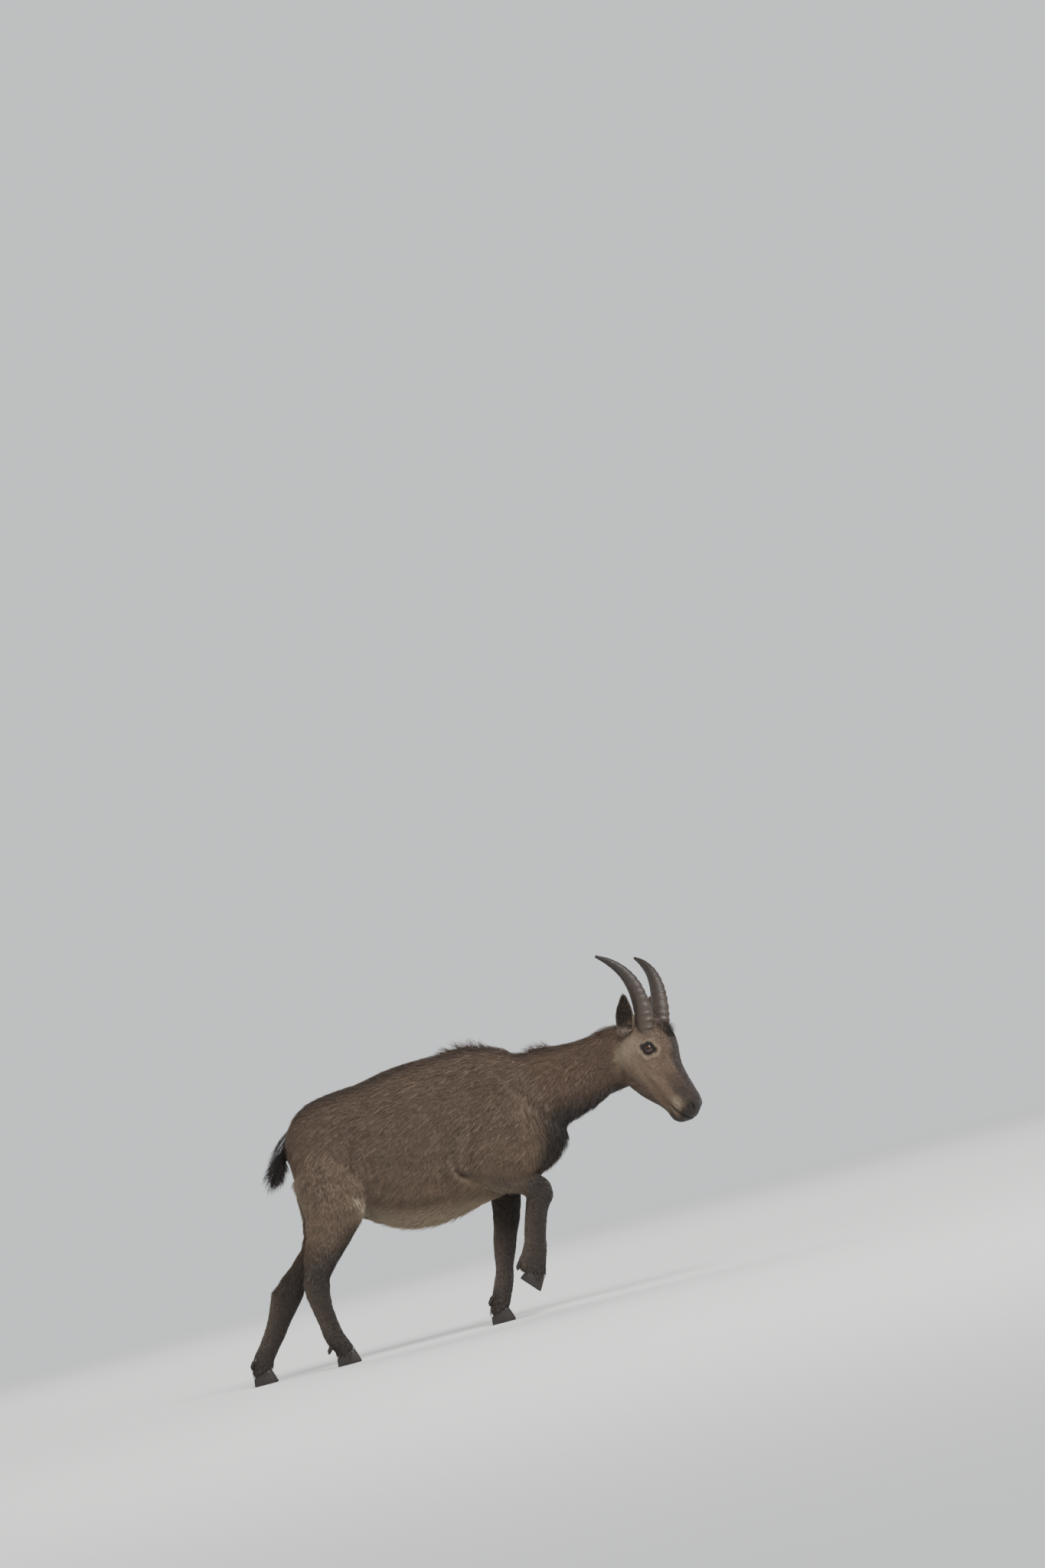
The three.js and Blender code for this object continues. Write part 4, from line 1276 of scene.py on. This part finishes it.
# %% Choose every hair
# how much locks differ, and how much single hairs differ in a lock
VARIES = {"length": (0.05, 0.14), "lift": (0.16, 0.22), "turn": (0.15, 0.12), "tone": (0.05, 0.09)}
SWAY_FROM, SWAY_GROWS, MOST_SWAY = 8, 14, 1.6  # in mm of length, and the sway itself
SWAY_STRAY = 0.5
PATCHES = (0.06, 40, 9)  # strength, size in mm and seed of the coat's paler and darker patches
draw = np.random.default_rng(SEED)


def grown_from(density):
    """Roots scattered over the skin, with what the skin knows at each."""
    picked, shares = scatter(density, draw)
    return picked, shares, {
        "root": at_roots(co, picked, shares),
        "normal": unit(at_roots(out, picked, shares)),
        "uv": (uv_values[loops[picked]] * shares[:, :, None]).sum(1),
    }


def lock_roots():
    """One root to a lock, spread evenly."""
    count = max(int(areas.sum() / (LOCK_SPACING * MM) ** 2), 1)
    return at_roots(co, *scatter(np.full(len(areas), count / areas.sum()), draw))


picked, shares, hairs = grown_from((facts[:, 4] * PER_SQUARE_METRE * hairy)[corners].mean(1))
root, normal = hairs["root"], hairs["normal"]
length = at_roots(lengths, picked, shares)
guides = lock_roots()
guide_tree = point_tree(guides)
mine = np.array([guide_tree.find(point)[1] for point in root])


def varied(what):
    """Random values, part shared by all hairs of a lock."""
    of_locks, of_hairs = VARIES[what]
    return draw.normal(0, of_locks, len(guides))[mine] + draw.normal(0, of_hairs, len(root))


pull = guides[mine] - root
pull -= normal * (pull * normal).sum(1, keepdims=True)
hairs |= {
    "lie": on_surface(at_roots(lie, picked, shares), normal),
    "width": at_roots(facts[:, 3], picked, shares),
    "colour": at_roots(skin_colour, picked, shares),
    "wave": np.clip((length - SWAY_FROM) / SWAY_GROWS, 0, MOST_SWAY),
    "pull": np.where(np.linalg.norm(pull, axis=1, keepdims=True) < 2 * LOCK_SPACING * MM, pull, 0),
}
hairs["length"] = length * np.clip(1 + varied("length"), 0.5, 1.3)
hairs["lift"] = at_roots(lifts, picked, shares) * np.clip(1 + varied("lift"), 0.2, 2)
hairs["turn"] = varied("turn")
hairs["phase"] = draw.uniform(0, FULL_TURN, len(guides))[mine] + draw.normal(0, SWAY_STRAY, len(root))
patchy = 1 + PATCHES[0] * waves(root / MM, *PATCHES[1:])
hairs["tone"] = np.clip(1 + varied("tone"), 0.65, 1.35) * patchy
print("hairs", len(root), "in locks", len(guides))

# %% [markdown]
# A piece may hold fewer than 200,000 triangles, so the coat is cut into several along her length.

# %% Make the coat's pieces
MOST_TRIANGLES = 180000
LONG_FROM = 31
SHORT_STATIONS = np.array([0.0, 0.5, 1.0])
LONG_STATIONS = np.array([0.0, 0.25, 0.5, 0.75, 1.0])


def make_coat(name, chosen, stations):
    """One object for every so many triangles, cut across her length."""
    chosen = np.flatnonzero(chosen)
    order = chosen[np.argsort(root[chosen, 0])]
    total = len(order) * len(blade_faces(len(stations) - 1))
    for k, group in enumerate(np.array_split(order, math.ceil(total / MOST_TRIANGLES))):
        some = {key: values[group] for key, values in hairs.items()}
        yield blade_mesh(f"{name}_{k + 1}", hair_curves(some, stations), some)


long = hairs["length"] > LONG_FROM
coat_pieces = [*make_coat("coat", ~long, SHORT_STATIONS), *make_coat("long_coat", long, LONG_STATIONS)]
print("coat pieces", len(coat_pieces), "triangles", sum(len(p.data.polygons) for p in coat_pieces))

# %% [markdown]
# The tail is a dark brush that hangs against the buttocks and ends in long wisps swept back and down. Its
# hairs are longer and need more points along them, so they are grown on their own from the tail's skin.

# %% Tail brush
TAIL_HAIRS = 900
TAIL_HAIR_WIDTH = 1.3
TAIL_WISPS = 16
# where the wisps end, in her level frame: from the outer edge of the brush to the inner one
WISP_ENDS = [(-466, 560), (-486, 526), (-496, 504), (-486, 474), (-462, 480), (-440, 492), (-420, 520)]
TAIL_STATIONS = np.array([0.0, 0.2, 0.4, 0.6, 0.8, 1.0])[None, :, None]
TAIL_SWELL = np.array((-4, 0, 2)) * MM
TAIL_LIFT = 5 * MM  # how far its hairs bulge out from the skin
TAIL_BULGE = 0.7
WISPS_APART, HAIRS_APART, TIPS_APART = 9, 3, 3.5  # sideways, sideways within a wisp, and every way
TAIL_REACH = (0.86, 0.16)  # share of the way to the wisp's end, and how much it varies


def wisp_tips(root):
    """Where each hair of the tail ends. The higher its root, the further out its wisp."""
    low = (root[:, 2] - root[:, 2].min()) / np.ptp(root[:, 2])
    wisp = np.round(TAIL_WISPS * (0.75 * (1 - low) + draw.normal(0, 0.2, len(root))))
    wisp = np.clip(wisp, 0, TAIL_WISPS - 1).astype(int)
    place = wisp / (TAIL_WISPS - 1) * (len(WISP_ENDS) - 1)
    x, z = (np.interp(place, np.arange(len(WISP_ENDS)), ends) for ends in zip(*WISP_ENDS))
    y = draw.normal(0, WISPS_APART, TAIL_WISPS)[wisp] + draw.normal(0, HAIRS_APART, len(root))
    tips = np.stack([x, y, z], 1) * MM + np.array(shift)
    return tips + draw.normal(0, TIPS_APART * MM, tips.shape)


def tail_brush():
    on_tail = (names == "tail")[corners].all(1)
    hairs = grown_from(np.where(on_tail, TAIL_HAIRS / areas[on_tail].sum(), 0))[2]
    root, normal = hairs["root"], hairs["normal"]
    span = wisp_tips(root) - root
    span *= np.clip(draw.normal(*TAIL_REACH, len(root)), 0.35, 1.08)[:, None]
    swell = normal * TAIL_LIFT + TAIL_SWELL
    bulge = 4 * TAIL_STATIONS * (1 - TAIL_STATIONS) * TAIL_BULGE
    curves = root[:, None] + span[:, None] * TAIL_STATIONS + swell[:, None] * bulge
    curves[:, 0] -= normal * HAIR_ROOT * MM
    hairs["width"] = np.full(len(root), TAIL_HAIR_WIDTH)
    hairs["colour"] = np.tile(np.array(COLOURS["tail"]), (len(root), 1))
    hairs["tone"] = np.clip(draw.normal(1.0, 0.15, len(root)), 0.6, 1.5)
    return blade_mesh("tail_brush", curves, hairs)


coat_pieces.append(tail_brush())
print("tail brush", len(coat_pieces[-1].data.polygons), "triangles")

# %% [markdown]
# Goats' eyes are amber with a level slit for a pupil. The eyeball is one glossy ball, and its iris and pupil
# are drawn by distance in the ball's own axes: x along the level slit, y across it, z out of the head.

# %% Eyes
IRIS = 12.4
PUPIL = (7.6, 3.0)
IRIS_COLOURS = opaque("38200f"), opaque("150b06")  # its middle and its rim
PUPIL_COLOUR = opaque("040303")
EYE_WHITE = opaque("1c1410")
THREADS = (700.0, 3.0)
EYE_SEGMENTS, EYE_RINGS = 64, 40


def eye_finish():
    constants = {"Coat_Weight": 0.45, "Coat_Roughness": 0.06, "Specular_IOR_Level": 0.3}
    material, inputs, wire = finish_for("eye", 0.2, **constants)
    where = wire.node("ShaderNodeTexCoord", output="Object")
    x, y = (wire.node("ShaderNodeSeparateXYZ", None, {"Vector": where}, axis) / MM for axis in "XY")
    radius = (x * x + y * y) ** 0.5
    slit = ((x / PUPIL[0]) ** 4 + (y / PUPIL[1]) ** 4).between(0.8, 1.25)
    rim = (radius / IRIS + 0.25 * where.noise(*THREADS)).between(0.75, 1.1)
    inner = slit.mix(PUPIL_COLOUR, rim.mix(*IRIS_COLOURS))
    wire.plug(inputs["Base Color"], radius.between(IRIS, IRIS + 1).mix(inner, EYE_WHITE))
    return material


def level_eye(side):
    """Axes of an eyeball whose pupil stays level in the picture however she holds her head."""
    look = head_axes @ eye_axes(side)[:, 2]
    level = unit(np.cross(np.array(to_level @ Vector((0, 0, 1))), look))
    return np.stack([level, np.cross(look, level), look], axis=1)


eye_material = eye_finish()
for side, word in SIDES_OF_HER.items():
    bpy.ops.mesh.primitive_uv_sphere_add(segments=EYE_SEGMENTS, ring_count=EYE_RINGS, radius=EYE_RADIUS * MM)
    eyeball = bpy.context.object
    eyeball.name = f"eyeball_{word}"
    turn = Matrix(level_eye(side).tolist())
    eyeball.matrix_world = Matrix.Translation(eye_centres[side]) @ turn.to_4x4()
    eyeball.data.shade_smooth()
    eyeball.data.materials.append(eye_material)
    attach(eyeball, "root")
    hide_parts(f"eye_{word}")
print("eyeballs of radius", EYE_RADIUS, "mm")

# %% [markdown]
# The horns of a nanny are short, curve back and carry fine growth rings with low knobs on the front of their
# lower half. They are drawn again along the same line as in the part, with many more rings round them.

# %% Horns
# place in the head's frame for her left horn: x, y, z, half width, half depth; mm
HORN = [
    (-42, 34, 12, 16, 22),
    (-71, 38, 33, 18, 26),
    (-112, 45, 55, 17, 24),
    (-154, 54, 69, 15, 20.5),
    (-197, 66, 71, 12, 15.5),
    (-238, 79, 60, 8, 10),
    (-272, 91, 42, 3, 3.5),
]
HORN_RINGS = 220
HORN_SIDES = 40
KNOBS, KNOB_SWELL, KNOB_BEHIND = 15, 0.05, 0.15  # how many, how high, and how much of that behind
RINGS, RING_SWELL = 62, 0.009
HORN_COLOURS = opaque("4d4138"), opaque("2a2420")  # at its root and at its tip
HORN_LINE = opaque("1e1916")
HORN_LINES = 390.0
HORN_GRAIN = (260.0, 4.0)


def along(rows, share):
    """A smooth curve through rows of numbers."""
    rows = np.array(rows, float)
    last = len(rows) - 1
    place = np.clip(share, 0, 1) * last
    i = min(int(place), last - 1)
    u = place - i
    a, b, c, d = (rows[min(max(k, 0), last)] for k in (i - 1, i, i + 1, i + 2))
    return 0.5 * (2 * b + (c - a) * u + (2 * a - 5 * b + 4 * c - d) * u**2 + (3 * b - a - 3 * c + d) * u**3)


def horn_ring(rows, share, turns):
    """Points round the horn, swelled by knobs on its front and by fine growth rings, both unevenly spaced."""
    here = along(rows, share)
    heading = unit((along(rows, share + 0.01) - along(rows, share - 0.01))[:3])
    across = unit(np.array((0, 1, 0)) - heading * heading[1])
    front = np.cross(heading, across)
    fade = 1 - share**2
    ahead = np.maximum(0, -np.sin(turns))
    uneven = share + 0.006 * math.sin(share * 31) + 0.004 * math.sin(share * 83)
    front_only = KNOB_BEHIND + (1 - KNOB_BEHIND) * ahead
    knob = KNOB_SWELL * front_only * fade * np.sin(uneven * KNOBS * 2 * np.pi)
    strength = 0.5 + 0.5 * math.sin(share * 47) * math.sin(share * 19)
    fine = RING_SWELL * strength * fade * np.sin(uneven * RINGS * 2 * np.pi + 0.8 * np.sin(turns * 2))
    size = (1 + knob + fine)[:, None]
    sideways = (np.cos(turns) * here[3])[:, None] * size * across
    return here[:3] + sideways + (np.sin(turns) * here[4])[:, None] * size * front


def horn(side, word):
    rows = [(x, side * y, z, half, deep) for x, y, z, half, deep in HORN]
    turns = np.linspace(0, 2 * np.pi, HORN_SIDES, endpoint=False)
    places = np.arange(HORN_RINGS + 1) / HORN_RINGS
    verts = np.concatenate([horn_ring(rows, share, turns) for share in places])
    verts = np.concatenate([verts, [along(rows, 0)[:3], along(rows, 1)[:3]]])
    root, tip = len(verts) - 2, len(verts) - 1
    faces = []
    for s in range(HORN_SIDES):
        t = (s + 1) % HORN_SIDES
        faces += [(root, t, s), (tip, HORN_RINGS * HORN_SIDES + s, HORN_RINGS * HORN_SIDES + t)]
        for a, b in ((k * HORN_SIDES + s, k * HORN_SIDES + t) for k in range(HORN_RINGS)):
            faces.append((a, b, b + HORN_SIDES, a + HORN_SIDES))
    piece = mesh_object(f"horn_{word}_ridged", verts * MM @ head_axes.T + np.array(head_origin), faces)
    keep_on(piece, "Along", "FLOAT", np.append(np.repeat(places, HORN_SIDES), [0, 1]))
    piece.data.shade_smooth()
    return piece


def horn_finish():
    material, inputs, wire = finish_for("horn", 0.5, Specular_IOR_Level=0.4)
    share = wire.node("ShaderNodeAttribute", {"attribute_name": "Along"}, output="Fac")
    grain = wire.node("ShaderNodeTexCoord", output="Object").noise(*HORN_GRAIN)
    lines = wire.math("SINE", share * HORN_LINES + grain * 5.0) * 0.5 + 0.5
    base = share.between(0.0, 0.9).mix(*HORN_COLOURS)
    wire.plug(inputs["Base Color"], (lines * 0.25 + grain * 0.55).mix(base, HORN_LINE))
    wire.plug(inputs["Normal"], (lines + grain).bump(0.0006, 0.7))
    return material


horn_material = horn_finish()
for side, word in SIDES_OF_HER.items():
    piece = horn(side, word)
    piece.data.materials.append(horn_material)
    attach(piece, "root")
    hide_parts(f"horn_{word}")
print("horns with", KNOBS, "knobs and", RINGS, "fine rings")

# %% [markdown]
# Hooves and dewclaws keep the part's solids. Rounded copies with a bevel on their edges stand for them, in
# dark horn with fine growth lines that run level round each claw.

# %% Hooves
HOOF_BEVEL = 0.0026
BEVEL_SEGMENTS = 3
BEVEL_FROM = math.radians(40)
HOOF_COLOURS = opaque("2c2622"), opaque("151210")  # between its growth lines and on them
HOOF_LINES = 1900.0
HOOF_GRAIN = (300.0, 3.0)


def hoof_finish():
    material, inputs, wire = finish_for("hoof", 0.42, Specular_IOR_Level=0.4)
    where = wire.node("ShaderNodeTexCoord", output="Object")
    height = wire.node("ShaderNodeSeparateXYZ", None, {"Vector": where}, "Z")
    grain = where.noise(*HOOF_GRAIN)
    lines = wire.math("SINE", height * HOOF_LINES + grain * 7.0) * 0.5 + 0.5
    wire.plug(inputs["Base Color"], (lines * 0.2 + grain * 0.6).mix(*HOOF_COLOURS))
    wire.plug(inputs["Normal"], (lines * 0.25 + grain).bump(0.0005, 0.5))
    return material


hoof_material = hoof_finish()
claws = [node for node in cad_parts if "claw" in node]
for node in claws:
    piece = joined(f"{node}_horn", [node], 0.0)
    bevel = piece.modifiers.new("edges", "BEVEL")
    bevel.width = HOOF_BEVEL
    bevel.segments = BEVEL_SEGMENTS
    bevel.limit_method = "ANGLE"
    bevel.angle_limit = BEVEL_FROM
    apply_modifiers(piece)
    piece.data.shade_smooth()
    piece.data.materials.append(hoof_material)
    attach(piece, "root")
    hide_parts(node)
print("claws and dewclaws", len(claws))

# %% [markdown]
# Every piece rides on the one body of the part. The skin stands for all the flesh nodes and the ears.

# %% Tie the pieces to the part
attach(skin, "root")
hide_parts(*[n for n in flesh_nodes if "eye" not in n], "ear_left", "ear_right")
for piece in coat_pieces:
    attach(piece, "root")
